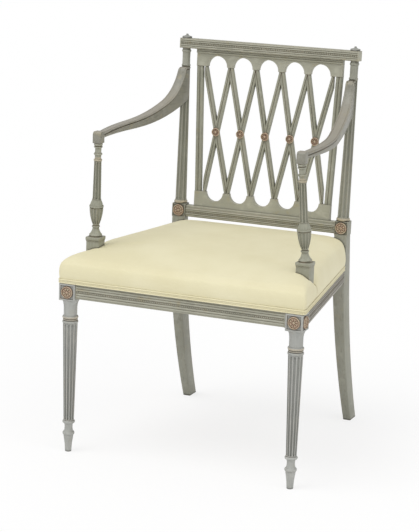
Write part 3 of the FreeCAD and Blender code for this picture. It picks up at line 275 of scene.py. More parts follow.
def fluted(low, high, radii, widths, count, depth, lip=1.5):
    """Tapered shaft: its outline, and its round-ended flutes for turned."""
    def flute(z):
        share = (z - low) / (high - low)
        half = (widths[0] + (widths[1] - widths[0]) * share) / 2
        run = min(z - low - lip, high - lip - z) / half
        share = sqrt(max(0, 1 - (1 - min(max(run, 0), 1)) ** 2))
        return max(half * share, 0.05), depth * share

    heights = [low, low + lip, high - lip, high]
    heights += [low + (high - low) * i / 10 for i in range(1, 10)]
    for share in (0.08, 0.3, 0.6, 1):
        heights += [low + lip + widths[0] / 2 * share, high - lip - widths[1] / 2 * share]
    outline = [(radii[0] + (radii[1] - radii[0]) * (z - low) / (high - low), z)
               for z in sorted(heights)]
    return outline, (count, low, high, flute)


def circle(radius, z, count):
    """Points evenly round the middle line."""
    return [(radius * cos(2 * pi * i / count),
             radius * sin(2 * pi * i / count), z) for i in range(count)]


def ringed(rows, wide, first=0, ends=False):
    """Faces between rows of points, each row a closed ring, and over both ends if asked."""
    faces = []
    for start in range(first, first + (rows - 1) * wide, wide):
        for i in range(wide):
            a, b = start + i, start + (i + 1) % wide
            faces.append((a, b, b + wide, a + wide))
    if ends:
        last = first + (rows - 1) * wide
        faces += [tuple(range(first, first + wide))[::-1], tuple(range(last, last + wide))]
    return faces


def turned(outline, flutes=None, around=48):
    """Lathe work from an outline of (radius, height) that goes up.

    flutes is how many are cut, between which heights, and how wide and deep they are at each.
    """
    if flutes:
        count, low, high, cut = flutes
        across = (-1, -0.88, -0.6, -0.3, 0, 0.3, 0.6, 0.88, 1)
        around = count * (len(across) + 1)
    points = []
    for radius, z in outline:
        if not flutes:
            points += circle(radius, z, around)
            continue
        half, deep = cut(min(max(z, low), high))
        if not low <= z <= high or deep == 0:
            half, deep = radius * pi / count * 0.7, 0
        for i in range(count):
            turn = 2 * pi * (i + 0.5) / count
            for u in across:
                a = turn + u * half / max(radius, 1)
                r = radius - deep * sqrt(max(0, 1 - u * u))
                points.append((r * cos(a), r * sin(a), z))
            a = turn + pi / count
            points.append((radius * cos(a), radius * sin(a), z))
    faces = ringed(len(outline), around)
    for j in (0, len(outline) - 1):
        points.append((0, 0, outline[j][1]))
        for i in range(around):
            a, b = j * around + i, j * around + (i + 1) % around
            faces.append((a, b, len(points) - 1) if j else (b, a, len(points) - 1))
    return points, faces


def taken(work):
    """The points and faces of a bmesh, which is then given up."""
    work.verts.index_update()
    points = [tuple(point.co) for point in work.verts]
    faces = [tuple(point.index for point in face.verts) for face in work.faces]
    work.free()
    return points, faces


def rounded(work, edges, by, steps):
    """Rounds edges of a bmesh over."""
    bmesh.ops.bevel(work, geom=edges, offset=by, segments=steps, profile=0.5, affect="EDGES",
                    clamp_overlap=True)


def block(corner, opposite, soften=0.8, panels=(), panel=27, sunk=1.5):
    """Squared wood with softened edges, and a sunk square on each side that is named."""
    work = bmesh.new()
    bmesh.ops.create_cube(work, size=1)
    low, high = zip(*(sorted(pair) for pair in zip(corner, opposite)))
    for point in work.verts:
        point.co = [(a + b) / 2 + c * (b - a) for a, b, c in zip(low, high, point.co)]
    if soften:
        rounded(work, work.edges[:], soften, 2)
    work.normal_update()
    for side in panels:
        face = max(work.faces, key=lambda f: f.normal.dot(Vector(side)) * f.calc_area())
        short = min(edge.calc_length() for edge in face.edges)
        bmesh.ops.inset_individual(work, faces=[face], thickness=(short - panel) / 2, depth=0)
        bmesh.ops.inset_individual(work, faces=[face], thickness=0.4, depth=-sunk)
    return taken(work)


leg_x = 258.3
ring_low, ring_high = 291.5, 302.0
leg_paint = painted("paint_leg", "z", (165, 166, 161), 0.8, 0.12, (295.5, 303))
shaft, leg_flutes = fluted(71.5, 288.5, (11.25, 15.75), (4.2, 5.8), 12, 2.5)
leg_outline = [
    (5.5, 0), (6.6, 0.5), (7, 1.6), (8, 18), (10.4, 34), (10.8, 37.8),
    *bead(10.9, 13, 38.5, 45.5),
    (10, 46.6), (9.2, 49), (8.5, 55), (8.8, 60), (9.8, 63.6),
    *bead(10.6, 13.75, 64.5, 71.2),
    *shaft,
    *bead(14.8, 17.25, ring_low - 3, ring_low + 3),
    (14.7, 294.9), *bead(14.9, 15.9, 295.2, 298.4), (14.7, 298.7),
    *bead(14.8, 17.25, ring_high - 3, ring_high + 3),
    (14.5, 306), (14.5, 322), (14.9, 328), (15.9, 333.5), (17.4, 337.5), (18.4, 339.3),
    (18.5, 340.2),
]
for side, s in sides:
    square = block((-19, -19, 340), (19, 19, rail_top), 0.9, panels=((0, -1, 0), (s, 0, 0)))
    leg = together(turned(leg_outline, leg_flutes), square)
    piece("front_leg_turned_" + side, moved(leg, Matrix.Translation((s * leg_x, 0, 0))),
          leg_paint, "front_leg_" + side)

# Front and side seat rails: straight beech, tenoned into the leg blocks. Two pairs of reeds run
# along each face, with a row of small carved beads between the pairs. A narrow fillet ends the
# moulding beside each block.
rail_low = 346.0
across_paint = painted("paint_across", "x", (162, 161, 145), 0.18, 0.5)
deep_paint = painted("paint_deep", "y", (154, 150, 139), 0.9, 0.5)


def carved_face(low, high, lip, sink=2.2, reeds=2, beads=4.5):
    """Section of a moulded face going up, as (depth from the face, height)."""
    wide = (high - low - 2 * lip - beads) / 2 / reeds
    outline = [(sink, low), (sink, low + lip)]
    for half in (0, 1):
        start = low + lip + half * (reeds * wide + beads)
        for i in range(reeds):
            reed = bead(sink, 0, start + i * wide, start + (i + 1) * wide)
            outline += reed if half and not i else reed[1:]
        if half == 0:
            channel = start + reeds * wide
            outline += [(sink * 0.95, channel + 0.1), (sink * 0.95, channel + beads - 0.1)]
    return outline + [(sink, high - lip + 0.05), (sink, high)]


def moulding(section, start, end):
    """Straight length of a section. start and end put its points in the chair."""
    points = [start(*p) for p in section] + [end(*p) for p in section]
    return points, ringed(2, len(section), ends=True)


def bead_row(start, end, radius=1.95, pitch=4.3):
    """Row of small round beads from one point to another."""
    start, end = Vector(start), Vector(end)
    count = round((end - start).length / pitch)
    ball = turned([(radius * sin(pi * i / 5), -radius * cos(pi * i / 5))
                   for i in range(1, 5)], around=8)
    return together(*(moved(ball, Matrix.Translation(start.lerp(end, (i + 0.5) / count)))
                      for i in range(count)))


def side_face(y):
    """How far out the face of a side rail lies."""
    return 275.3 - 0.1541 * (y - 19)


def beside(s, y):
    """Puts the points of a section against the face of a side rail."""
    return lambda depth, z: (s * (side_face(y) - depth), y, z)


face_y = -17.0
rail_reach = 239.1
bead_depth, bead_height = 1.9, 361.5
face = carved_face(rail_low, rail_top, 3)
row_ends = [(s * (rail_reach - 3), face_y + bead_depth, bead_height) for s in (-1, 1)]
fillets = [block((s * rail_reach, face_y - 0.2, rail_low),
                 (s * (rail_reach - 2.6), face_y + 4, rail_top), 0.4) for s in (-1, 1)]
front_rail = together(
    moulding(face + [(30, rail_top), (30, rail_low)],
             lambda depth, z: (-rail_reach, face_y + depth, z),
             lambda depth, z: (rail_reach, face_y + depth, z)),
    bead_row(*row_ends), *fillets)
piece("front_rail_carved", front_rail, across_paint, "front_seat_rail")
for side, s in sides:
    side_rail = together(
        moulding(face + [(40, rail_top), (40, rail_low)], beside(s, 19.2), beside(s, 417.8)),
        bead_row(beside(s, 22)(bead_depth, bead_height), beside(s, 415)(bead_depth, bead_height)))
    piece("side_rail_carved_" + side, side_rail, deep_paint, "side_seat_rail_" + side)

# Rear seat rail: plain beech sawn with straight edges, tenoned between the rear legs and painted
# with the rest.


def dressed(coat, *names):
    """Nodes of the frame that keep their shape and take this finish."""
    for name in names:
        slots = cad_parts[name].data.materials
        if not slots:
            slots.append(coat)
        for i in range(len(slots)):
            slots[i] = coat


dressed(across_paint, "rear_seat_rail")

# Corner blocks: four blocks of bare beech, glued into the corners behind the joints of the rails
# to stiffen them.


def beech_coat(coat):
    """Plain sawn beech with short darker flecks along its grain."""
    place = coat.place()
    figure = place.stretched(1, 0.08, 1).cloud(0.005, 4, 0.6)
    flecks = place.stretched(1, 0.2, 1).cloud(0.0012)
    colour = figure.band(0.35, 0.65).over(tint(196, 160, 118), tint(178, 138, 96))
    colour = (flecks.band(0.6, 0.7) * 0.5).over(colour, tint(150, 108, 72))
    return {"Base_Color": colour, "Roughness": 0.6 + 0.15 * figure,
            "Normal": coat.relief(flecks * (0.1 * mm))}


bare_beech = finish("bare_beech", beech_coat)
for side in ("left", "right"):
    dressed(bare_beech, "corner_block_front_" + side, "corner_block_rear_" + side)

# Rear legs: each is sawn from one length of beech, swept back to the floor below the seat. A
# square block with a sunk panel stands above the seat, and a fluted post above that leans back
# and a little outward.
post_x, post_y = 198.8, 430.5
rear_paint = painted("paint_rear", "z", (146, 146, 133), 0.9, 0.25, (486.5, 493))
rake, splay = radians(2.6), radians(0.57)
lean = tan(rake)
block_low, block_top = 455.5, 486.5


def bend(at, *stops):
    """Smooth curve through three stops of (place, amount)."""
    return sum(
        amount * prod((at - other) / (place - other) for other, _ in stops if other != place)
        for place, amount in stops)


def squared(levels, soften=1.6):
    """Squared leg through levels of (height, least x, most x, front y, rear y)."""
    points = []
    for z, x0, x1, y0, y1 in levels:
        x0, x1, y0, y1 = x0 + soften, x1 - soften, y0 + soften, y1 - soften
        for x, y, turn in ((x1, y0, -1), (x1, y1, 0), (x0, y1, 1), (x0, y0, 2)):
            for i in range(4):
                a = pi / 2 * (turn + i / 3)
                points.append((x + soften * cos(a), y + soften * sin(a), z))
    return points, ringed(len(levels), 16, ends=True)


def leaning(x, depth, rise):
    """A place in the leaning plane of the back."""
    return (x, post_y + depth * cos(rake) + rise * sin(rake),
            rail_top + rise * cos(rake) - depth * sin(rake))


def post_back(z):
    """How far back the middle of the leaning posts lies at a height."""
    return post_y + (z - rail_top) * lean


shaft, post_flutes = fluted(7, 315, (13.25, 9.7), (7.6, 5.4), 8, 2.8)
post_outline = [
    (13.2, -0.5), (13.9, 0), *bead(13.6, 15.5, 0.3, 6.6), *shaft,
    *bead(9.2, 10.3, 315.4, 319.8), (8.9, 320.4), (8.8, 335), (9, 346.6),
    *bead(9.1, 10.5, 347.4, 353.2), (9, 353.8), (9.3, 356.5),
]
leg_front = ((0, 515.5), (173, 452.45), (rail_low, 418))
leg_back = ((0, 553.5), (173, 491.5), (rail_low, 458))
back_slope = 11.4 / 109.5
for side, s in sides:
    levels = []
    for i in range(27):
        z = block_low * i / 26
        thinned = 1 - z / block_low
        inner, outer = s * (post_x - (15 - 11.25 * thinned)), s * (post_x + (15 - 1.25 * thinned))
        if z < rail_low:
            ahead, behind = bend(z, *leg_front), bend(z, *leg_back)
        else:
            ahead, behind = 418 + max(0, z - rail_top) * lean, 458 - (z - rail_low) * back_slope
        levels.append((z, *sorted((inner, outer)), ahead, behind))
    square = block((-16, -12.5, 0), (16, 12.5, 31), 0.9, panels=((0, -1, 0),))
    stand, post_stand = (Matrix.Translation((s * post_x, post_back(z), z))
                         for z in (block_low, block_top))
    stand @= Matrix.Shear("XY", 4, (0, lean))
    post_stand @= Matrix.Rotation(hypot(rake, splay), 4, Vector((-rake, s * splay, 0)))
    rear_leg = together(squared(levels), moved(square, stand),
                        moved(turned(post_outline, post_flutes), post_stand))
    piece("rear_leg_sawn_" + side, rear_leg, rear_paint, "rear_leg_" + side)

# Lower back rail: beech moulded like the seat rails, tenoned between the post blocks, with a
# plain fillet on top that carries the lattice.


def back_moulding(section, half, bead_rise):
    """A length of moulding across the leaning back, with its row of beads."""
    ends = [lambda depth, rise, x=x: leaning(x, depth, rise) for x in (-half, half)]
    return together(moulding(section, *ends),
                    bead_row(*(end(section[0][0] - 0.3, bead_rise) for end in ends)))


lower_face = [(p - 10.5, z) for p, z in carved_face(80, 101, 1.5)]
lower_face += [(-6.1, 101), (-6.1, 105.2), (-5.4, 106), (11.5, 106), (11.5, 80)]
piece("lower_rail_carved", back_moulding(lower_face, half=182.6, bead_rise=90.5),
      across_paint, "lower_back_rail")

# Lattice: two arcaded boards, two stiles and ten slender bars, all of beech. Each bar and stile
# has two reeds on its face. The bars are halved where they cross, and end on the pendants of the
# boards.
dressed(across_paint, "splat_top_arcade", "splat_low_arcade")
pendants_low, pendants_high = 141.25, 428.16
top_pitch, low_pitch = 62.2, 58.4
stile_wide, bar_wide, bar_front = 15, 11.5, 0.75
lattice_paint = painted("paint_lattice", "z", (150, 150, 134), 0.7, 0.3)


def workable(shape):
    """A bmesh of a shape, to be cut or bevelled."""
    points, faces = shape
    work = bmesh.new()
    placed = [work.verts.new(p) for p in points]
    for face in faces:
        work.faces.new([placed[i] for i in face])
    bmesh.ops.recalc_face_normals(work, faces=work.faces[:])
    return work


def leant(shape):
    """A shape of the back, drawn upright, put in its leaning plane."""
    return [leaning(*p) for p in shape[0]], shape[1]


def reeded(width, low_x, high_x, trims=()):
    """Bar with two reeds on its face, between the two boards, trimmed upright at its ends."""
    reed = bead(1.7, 0, -width / 2, 0, 5) + bead(1.7, 0, 0, width / 2, 5)[1:]
    section = [(x, bar_front + depth) for depth, x in reed]
    section += [(width / 2, bar_front + 10), (-width / 2, bar_front + 10)]
    bar = workable(moulding(section, lambda x, depth: (low_x + x, depth, pendants_low),
                            lambda x, depth: (high_x + x, depth, pendants_high)))
    for at, way in trims:
        cut = bmesh.ops.bisect_plane(bar, geom=bar.verts[:] + bar.edges[:] + bar.faces[:],
                                     plane_co=(at, 0, 0), plane_no=(way, 0, 0), clear_outer=True)
        rim = [e for e in cut["geom_cut"] if isinstance(e, bmesh.types.BMEdge)]
        bmesh.ops.holes_fill(bar, edges=rim)
    return leant(taken(bar))


for side, s in sides:
    stile = reeded(stile_wide, s * 158.5, s * 168)
    piece("stile_reeded_" + side, stile, lattice_paint, "splat_stile_" + side)
for i in range(5):
    for way, top_i, low_i, sign in (("falling", i, i + 1, 1), ("rising", i + 1, i, -1)):
        top_x, low_x = (top_i - 2.5) * top_pitch, (low_i - 2.5) * low_pitch
        trims = (top_x + sign * 0.25, -sign), (low_x - sign * 0.25, sign)
        bar = reeded(bar_wide, low_x, top_x, trims)
        piece(f"bar_reeded_{i + 1}_{way}", bar, lattice_paint, f"lattice_bar_{i + 1}_{way}")

# Rosettes: small wooden discs, turned, carved and painted a worn pink ochre. They are glued into
# the sunk panels of the blocks and over each crossing of the lattice.


def rosette_coat(coat):
    """Thin old colour with specks of ground showing, brown and painted shade between the petals."""
    place = coat.place()
    patches = place.cloud(0.006, 4, 0.6)
    specks = place.cloud(0.0015, 3, 0.6)
    colour = patches.band(0.35, 0.65).over(tint(182, 150, 128), tint(180, 168, 142))
    colour = (specks.band(0.52, 0.68) * 0.5).over(colour, tint(204, 190, 168))
    colour = ((1 - patches).band(0.54, 0.66) * 0.7).over(colour, tint(146, 144, 124))
    # Brown between the petals, deepened by painted shade where they close in
    colour = (coat.hollow(2.4 * mm, 0.06, 0.36) * 0.9).over(colour, tint(100, 66, 48))
    return {"Base_Color": colour, "Roughness": 0.5 + 0.2 * patches,
            "Normal": coat.relief(specks * (0.1 * mm))}


rosette_paint = finish("paint_rosette", rosette_coat)


def patera(radius, thick, petals=8):
    """Disc with a raised rim, carved petals and a button, facing up."""
    around = petals * 12
    inner, outer = 3.4, radius - 2.6
    rings = [0.6, 1.3, 1.9, 2.4, 2.8, 3.2]
    rings += [inner + (outer - inner) * i / 7 for i in range(8)]
    rings += [radius - back for back in (2.3, 2.0, 1.5, 1.0, 0.5, 0.15, 0)]
    ground, button, rim, petal = thick - 2.0, 1.9, 2.0, 1.7
    points = [(0, 0, ground + button)]
    for r in rings:
        for i, (x, y, z) in enumerate(circle(r, ground, around)):
            if r < inner - 0.3:
                z += button * sqrt(max(0, 1 - (r / 3.3) ** 2))
            elif r > radius - 2.4:
                z += rim * sqrt(max(0, 1 - ((r - radius + 1.2) / 1.25) ** 2))
            else:
                share = (r - inner) / (outer - inner)
                across = abs((i % 12) / 6 - 1)
                z += petal * sqrt(max(0, 1 - (across / (0.45 + 0.5 * share)) ** 2)) \
                    * sin(pi * min(1, 0.12 + 0.93 * share)) ** 0.6
            points.append((x, y, z))
    points += circle(radius, 0, around)
    faces = [(0, 1 + i, 1 + (i + 1) % around) for i in range(around)]
    faces += ringed(len(rings) + 1, around, first=1)
    return points, faces + [tuple(range(len(points) - around, len(points)))[::-1]]


large, small = patera(13.1, 3.5), patera(9.5, 3.6)
forward = Matrix.Rotation(pi / 2, 4, "X")
leg_panel, post_panel = 17.7, 11.2
leg_middle, post_middle = 358.5, (block_low + block_top) / 2
discs = []
for s in (-1, 1):
    outward = Matrix.Rotation(s * pi / 2, 4, "Y")
    discs += [moved(large, Matrix.Translation(place) @ turn) for place, turn in (
        ((s * leg_x, -leg_panel, leg_middle), forward),
        ((s * (leg_x + leg_panel), 0, leg_middle), outward),
        ((s * post_x, post_back(post_middle) - post_panel, post_middle), forward))]
piece("carved_rosettes_blocks", together(*discs), rosette_paint, "block_rosettes")
low_share = low_pitch / (low_pitch + top_pitch)
crossing = 141 + (428.41 - 141) * low_share
on_back = Matrix.Rotation(pi / 2 - rake, 4, "X")
places = [leaning((i - 2) * 2 * top_pitch * low_share, 0.55, crossing) for i in range(5)]
discs = [moved(small, Matrix.Translation(place) @ on_back) for place in places]
piece("carved_rosettes_lattice", together(*discs), rosette_paint, "lattice_rosettes")

# Crest rail: beech, moulded and beaded on its face, set on the pins of both posts, with a small
# turned cap pinned into its top above each post.
crest_low, crest_high = 466.41, 488.91
crest_face = [(p - 12.5, z) for p, z in carved_face(crest_low, crest_high, 1.5)]
crest_face += [(-9.8, crest_high - 0.2), (11, crest_high), (11.5, crest_high - 0.5),
               (11.5, crest_low + 0.5), (11, crest_low)]
end_plates = [leant(block((s * 213.3 - 1.2, -12.7, crest_low),
                          (s * 213.3 + 1.2, 11.4, crest_high), 0.5)) for s in (-1, 1)]
crest = together(back_moulding(crest_face, half=213.6, bead_rise=477.66), *end_plates)
piece("crest_carved", crest, across_paint, "crest_rail")
cap_paint = painted("paint_upright", "z", (147, 148, 142), 0.9, 0.12)
cap_outline = [
    (3, -7), (3, 0), (10.4, 0.1), (11, 0.5), (11.25, 1.8), (11.1, 3.2), (10.2, 3.9), (8, 4.4),
    (5.2, 5.2), (3.2, 6.3), (2.5, 7.4), (2.6, 8.2), (2.3, 9), (1.2, 9.45),
]
post_long = 356.5
for side, s in sides:
    place = leaning(s * (post_x + post_long * tan(splay)), 0, crest_high + 0.3)
    stand = Matrix.Translation(place) @ Matrix.Rotation(-rake, 4, "X")
    piece("cap_turned_" + side, moved(turned(cap_outline, around=40), stand), cap_paint,
          "post_cap_" + side)

# Arm supports: a square beech plinth on the side rail, and on it a hollow foot, a fluted urn and
# a slender fluted stem, all turned in one piece that leans to the front end of the arm.
support_paint = painted("paint_support", "z", (148, 148, 132), 0.9, 0.35, (633, 641))
foot = Vector((241.5, 80, 465.5))
under_arm = Vector((231, 63.5, 672))
support_long = (under_arm - foot).length
shaft, stem_flutes = fluted(84, 168, (9.25, 8), (5.2, 4.5), 8, 2.1, lip=1)


def urn_radius(z):
    """Swelling outline of the urn from its waist to its shoulder."""
    return bend(z, (26, 6.9), (46, 12.7), (65, 14.7))


urn = [
    *((urn_radius(z), z) for z in (26, 28, 30, 32, 35, 39, 44, 50, 55, 59, 61, 63, 64.6)),
    (13.6, 65.2), *bead(13.8, 15.6, 65.6, 70.2, 5), (13.7, 70.5), (13.4, 73), (12, 77),
    (10.4, 80.4), (10.2, 81), (9.7, 83.4),
]


def urn_cut(z):
    """Hollows carved up the urn, as wide as it is round at each height."""
    if 28 < z < 64:
        share = min(1, (z - 28) / 3, (64 - z) / 2) ** 0.5
        return 3 * share * urn_radius(z) / 15 + 0.05, 1.8 * share
    return 0.05, 0


support_outline = [
    (14, -4), (14, 2.4), *bead(13.2, 14.2, 2.6, 5.4, 4), (12.4, 6), (10.6, 9), (8.7, 13),
    (7.4, 17), (6.8, 20), *bead(6.9, 8.8, 20.6, 24.6, 5), (6.9, 25.2),
]
top_outline = [
    *bead(7.4, 9.3, 168.4, 172.4, 5), (6.9, 173), (6.8, 177), (6.9, 180.9),
    *bead(7, 9.3, 181.4, 185.9, 5), (6.8, 186.4), (6.8, 196.6),
    *bead(7, 9.3, 197, 201.6, 5), (7.6, 202), (9.2, 203), (9.3, support_long),
]
support = together(turned(support_outline), turned(urn, (12, 26, 84, urn_cut)),
                   turned(shaft, stem_flutes), turned(top_outline))
plinth = together(block((-15, -15, 377.25), (15, 15, 456.5), 0.8),
                  block((-15.6, -15.6, 456), (15.6, 15.6, 458.2), 0.6),
                  block((-16.5, -16.5, 458.2), (16.5, 16.5, 465.5), 1.4))
arm_bottom = 671.7
for side, s in sides:
    axis = (under_arm - foot) * Vector((s, 1, 1))
    turn = Vector((0, 0, 1)).rotation_difference(axis).to_matrix().to_4x4()
    points, faces = moved(support, Matrix.Translation(foot * Vector((s, 1, 1))) @ turn)
    points = [(x, y, min(z, arm_bottom)) for x, y, z in points]
    seated = moved(plinth, Matrix.Translation((s * foot.x, foot.y, 0)))
    piece("arm_support_turned_" + side, together((points, faces), seated), support_paint,
          "arm_support_" + side)

# Arms: shaped beech, rubbed pale on top by hands. Each springs level from a small block over its
# support, bows outward, and sweeps up and in to the post, where its end is hollowed to fit.
arm_paint = painted("paint_arm", "y", (131, 129, 117), 0.9, rubbed=0.6, polish=0.2)
arm_x = 231


def arc(a, via, b, steps=12):
    """Points on the round line from a through via to b, leaving out a itself."""
    a, via, b = complex(*a), complex(*via), complex(*b)
    way = (b - a) / (via - a)
    middle = a + (via - a) * (way - abs(way) ** 2) / (2j * way.imag)
    turn = cmath.phase((b - middle) / (a - middle))
    spots = [middle + (a - middle) * cmath.rect(1, turn * i / steps) for i in range(1, steps + 1)]
    return [(spot.real, spot.imag) for spot in spots]


def along(path, share):
    """The point at a share of the length of a path."""
    left = share * sum(dist(a, b) for a, b in zip(path, path[1:]))
    for a, b in zip(path, path[1:]):
        run = dist(a, b)
        if left <= run or b is path[-1]:
            return Vector([p + (q - p) * min(1, left / run) for p, q in zip(a, b)])
        left -= run


arm_top = [(72, 693), (215, 700), *arc((215, 700), (300, 711.5), (365, 731)),
           *arc((365, 731), (409, 763), (430, 800)), (441, 800)]
arm_under = [(72, 681), (215, 682), *arc((215, 682), (335, 693), (440.7, 722))]


def arm_middle(y):
    """Plan of the arm: how far out its middle lies."""
    if y < 272:
        return bend(max(y, 73), (73, arm_x), (140, 237), (272, 225.5))
    return bend(y, (272, 225.5), (368, 210), (430.5, 201.5))


def post_front(x, z):
    """Front of the post, where the arm's hollowed end lies on it."""
    radius = 13.25 - 3.55 * min(1, (z - block_top - 7) / 308) + 0.25
    middle = post_x + (z - block_top) * tan(splay)
    return post_back(z) - sqrt(max(1, radius ** 2 - (x - middle) ** 2))


def arm_loft(s, stations=56):
    """The arm behind its block: one section at each station, from its top line down."""
    points = []
    for k in range(stations + 1):
        share = k / stations
        top, under = along(arm_top, share), along(arm_under, share)
        high = (top - under).length
        down = (under - top) / high
        y = min(max((top.x + under.x) / 2, 73), 430)
        half = bend(y, (73, 19), (240, 24), (430, 20.5)) / 2
        edge = [(4.4, 0), (3.6, 0.9), (2.8, 0.2), (1.6, 0), (0.5, 0.7), (0, 2), (0.5, 3.3),
                (1.8, 4), (2.6, 4.6), (2.6, 5.2), (1.2, 5.8), (0.8, high * 0.6), (1.1, high - 4),
                (2.2, high - 2), (4, high - 0.6)]
        outline = [(0, -0.5), (half * 0.45, -0.4), *((half - a, d) for a, d in edge),
                   (half * 0.4, high)]
        outline += [(-a, d) for a, d in outline[::-1] if a > 0]
        for a, d in outline:
            y, z = top + down * d
            x = arm_middle(y) + a
            if k == stations:
                y = post_front(x, z)
            points.append((s * x, y, z))
    wide = len(points) // (stations + 1)
    faces = ringed(stations + 1, wide)
    # The hollowed end is closed row by row across the arm
    last = stations * wide
    rows = []
    for i in range(1, wide // 2 + 1):
        left, right = last + i, last + wide - i
        rows.append([left, *range(len(points), len(points) + 5), right])
        p, q = points[left], points[right]
        z = (p[2] + q[2]) / 2
        for step in range(1, 6):
            x = p[0] + (q[0] - p[0]) * step / 6
            points.append((x, post_front(abs(x), z), z))
    for above, below in zip(rows, rows[1:]):
        for i in range(6):
            faces.append((above[i], below[i], below[i + 1], above[i + 1]))
    faces += [(last, *rows[0][::-1]), tuple(rows[-1]), tuple(range(wide))[::-1]]
    return points, faces


def arm_block(s):
    """Small rounded block at the front end of the arm, over its support."""
    profile = [(54, 673), (54.6, 672), (73.6, 672), (73.6, 697), (60, 697), (57.4, 696.2),
               (55.2, 694), (54, 691)]
    half = 9.6
    work = workable(moulding(profile, lambda y, z: (s * arm_x - half, y, z),
                             lambda y, z: (s * arm_x + half, y, z)))
    rims = [e for e in work.edges if abs(e.verts[0].co.x - e.verts[1].co.x) < 0.1]
    rounded(work, rims, 1.3, 3)
    return taken(work)


for side, s in sides:
    piece("arm_shaped_" + side, together(arm_loft(s), arm_block(s)), arm_paint, "arm_" + side,
          sharp=50)
    dressed(bare_beech, "arm_dowel_" + side)

# Webbing and canvas under the seat: jute straps woven across each other and tacked to the rails,
# with hessian over them.


def jute_coat(coat, thread, light, dark):
    """Coarse plain weave with threads of this size in metres."""
    place = coat.place()
    patches = place.cloud(0.03, 3)
    warp, weft = (coat.node("ShaderNodeTexWave", {"bands_direction": way},
                            {"Vector": place, "Scale": 0.314 / thread, "Distortion": 0.6})
                  for way in ("X", "Y"))
    weave = warp.sum("MAXIMUM", warp, weft)
    colour = weave.band(0.3, 1.0).over(dark, light)
    colour = (patches.band(0.45, 0.7) * 0.4).over(colour, tint(150, 126, 92))
    return {"Base_Color": colour, "Roughness": 0.85 + 0.1 * patches,
            "Normal": coat.relief(weave * (0.3 * mm))}


jute = finish("jute_webbing", jute_coat, 0.002, tint(186, 160, 120), tint(122, 98, 66))
hessian = finish("hessian", jute_coat, 0.0014, tint(198, 180, 146), tint(140, 120, 88))
dressed(jute, "seat_webbing", "seat_cross_webbing")
dressed(hessian, "seat_canvas")

# Stuffed seat: a full crowned pad under pale cream cloth, which is pulled down to the rails,
# pleated at the front corners and cut round the posts and the plinths of the arm supports.


def cloth_coat(coat):
    """Plain cotton, slubbed both ways of its weave, with yellower painted shade where drawn in."""
    place = coat.place()
    drift = place.cloud(0.12, 3)
    slubs = place.stretched(0.1, 1, 1).cloud(0.0016)
    picks = place.stretched(1, 0.1, 1).cloud(0.0016)
    raised = (slubs * 0.5 + picks * 0.5).band(0.5, 0.7)
    colour = drift.band(0.3, 0.7).over(tint(230, 223, 188), tint(224, 216, 178))
    colour = (raised * 0.25).over(colour, tint(240, 234, 206))
    # Painted shade, darker and yellower, in folds, dips and cuts up to about 6 mm across
    colour = (coat.hollow(6 * mm, 0.2, 0.7) * 0.4).over(colour, tint(196, 184, 140))
    # Painted shade, deeper, in narrow creases and in the slits beside the plinths
    colour = (coat.hollow(1.5 * mm, 0.15, 0.5) * 0.7).over(colour, tint(176, 162, 118))
    return {"Base_Color": colour, "Roughness": 0.7 + 0.14 * slubs,
            "Normal": coat.relief((slubs + picks) * (0.12 * mm))}


cream_cloth = finish("cream_cloth", cloth_coat, Sheen_Weight=0.15)
seat_front, seat_rear, seat_half = -18.5, 439.0, 268.4
cloth_out = 0.8
wall_top = 412.0
corner = 6.0
edge_steps = [0, 1.4, 3.2, 5.6, 9, 14, 20, 28, 39, 54]
side_rise = [*zip(edge_steps, (0, 9, 16, 22.5, 28, 32, 35, 37.5, 39.5, 41)), (80, 42.5),
             (268, 46)]
corner_rise = [*zip(edge_steps, (0, 8, 13.5, 17.5, 20.5, 23.5, 26.5, 30.5, 35, 39.5)),
               (80, 42.5), (268, 46)]
front_rise = [*zip(edge_steps, (0, 5.2, 8.4, 10.2, 11.4, 14.8, 18.8, 21, 23.2, 26.5)),
              (80, 31), (140, 38), (220, 44), (460, 46)]
rear_rise = [*zip(edge_steps, (0, 16, 24, 31, 36, 40, 42, 43.5, 45)), (460, 46)]


def between(stops, at):
    """The amount at a place, on straight runs between stops of (place, amount)."""
    for (p, a), (q, b) in zip(stops, stops[1:]):
        if at <= q:
            return a + (b - a) * max(0, at - p) / (q - p)
    return stops[-1][1]


def seat_lines(length, middle_steps):
    """Distances in from both ends, close together near the edges."""
    inner = length - 2 * edge_steps[-1]
    middles = [edge_steps[-1] + inner * i / middle_steps for i in range(1, middle_steps)]
    return edge_steps + middles + [length - e for e in edge_steps[::-1]]


def crown(x, y, side_in, front_in, rear_in):
    """Height of the top of the pad at a place, from how far in it lies."""
    # The slope from the nearest edge leads, and blends into the others. The sides are lower and
    # rounder towards the front.
    share = min(max((y - 60) / 95, 0), 1)
    share = share * share * (3 - 2 * share)
    slopes = (between(side_rise, side_in) * share + between(corner_rise, side_in) * (1 - share),
              between(front_rise, front_in), between(rear_rise, rear_in))
    blend = 1.6
    z = wall_top - blend * log(sum(exp(-slope / blend) for slope in slopes))
    z += 2.2 * (1 - min(1, hypot(x / 230, (y - 215) / 200)) ** 2)
    z = max(z, wall_top) if min(side_in, front_in, rear_in) > 0.1 else wall_top
    # The cloth is pulled down round each plinth, most at its outer corner
    x = abs(x)
    away = hypot(x - 257, max(0, abs(y - foot.y) - 15))
    pull = 3.5 * exp(-(away / 16) ** 2)
    pull += 21 * exp(-(hypot(x - 259, y - 97) / 15) ** 2)
    z -= pull * min(1, side_in / 5)
    # and drawn into a slack fold that runs in from it over the pad
    run = ((222 - x) * 0.84 + (y - 92) * 0.54) / 150
    off = (222 - x) * -0.54 + (y - 92) * 0.84
    if 0 < run < 1:
        fold = exp(-(off / 8) ** 2) - 0.8 * exp(-((off + 17) / 10) ** 2)
        z += 1.9 * fold * sin(pi * run ** 0.6)
    return z


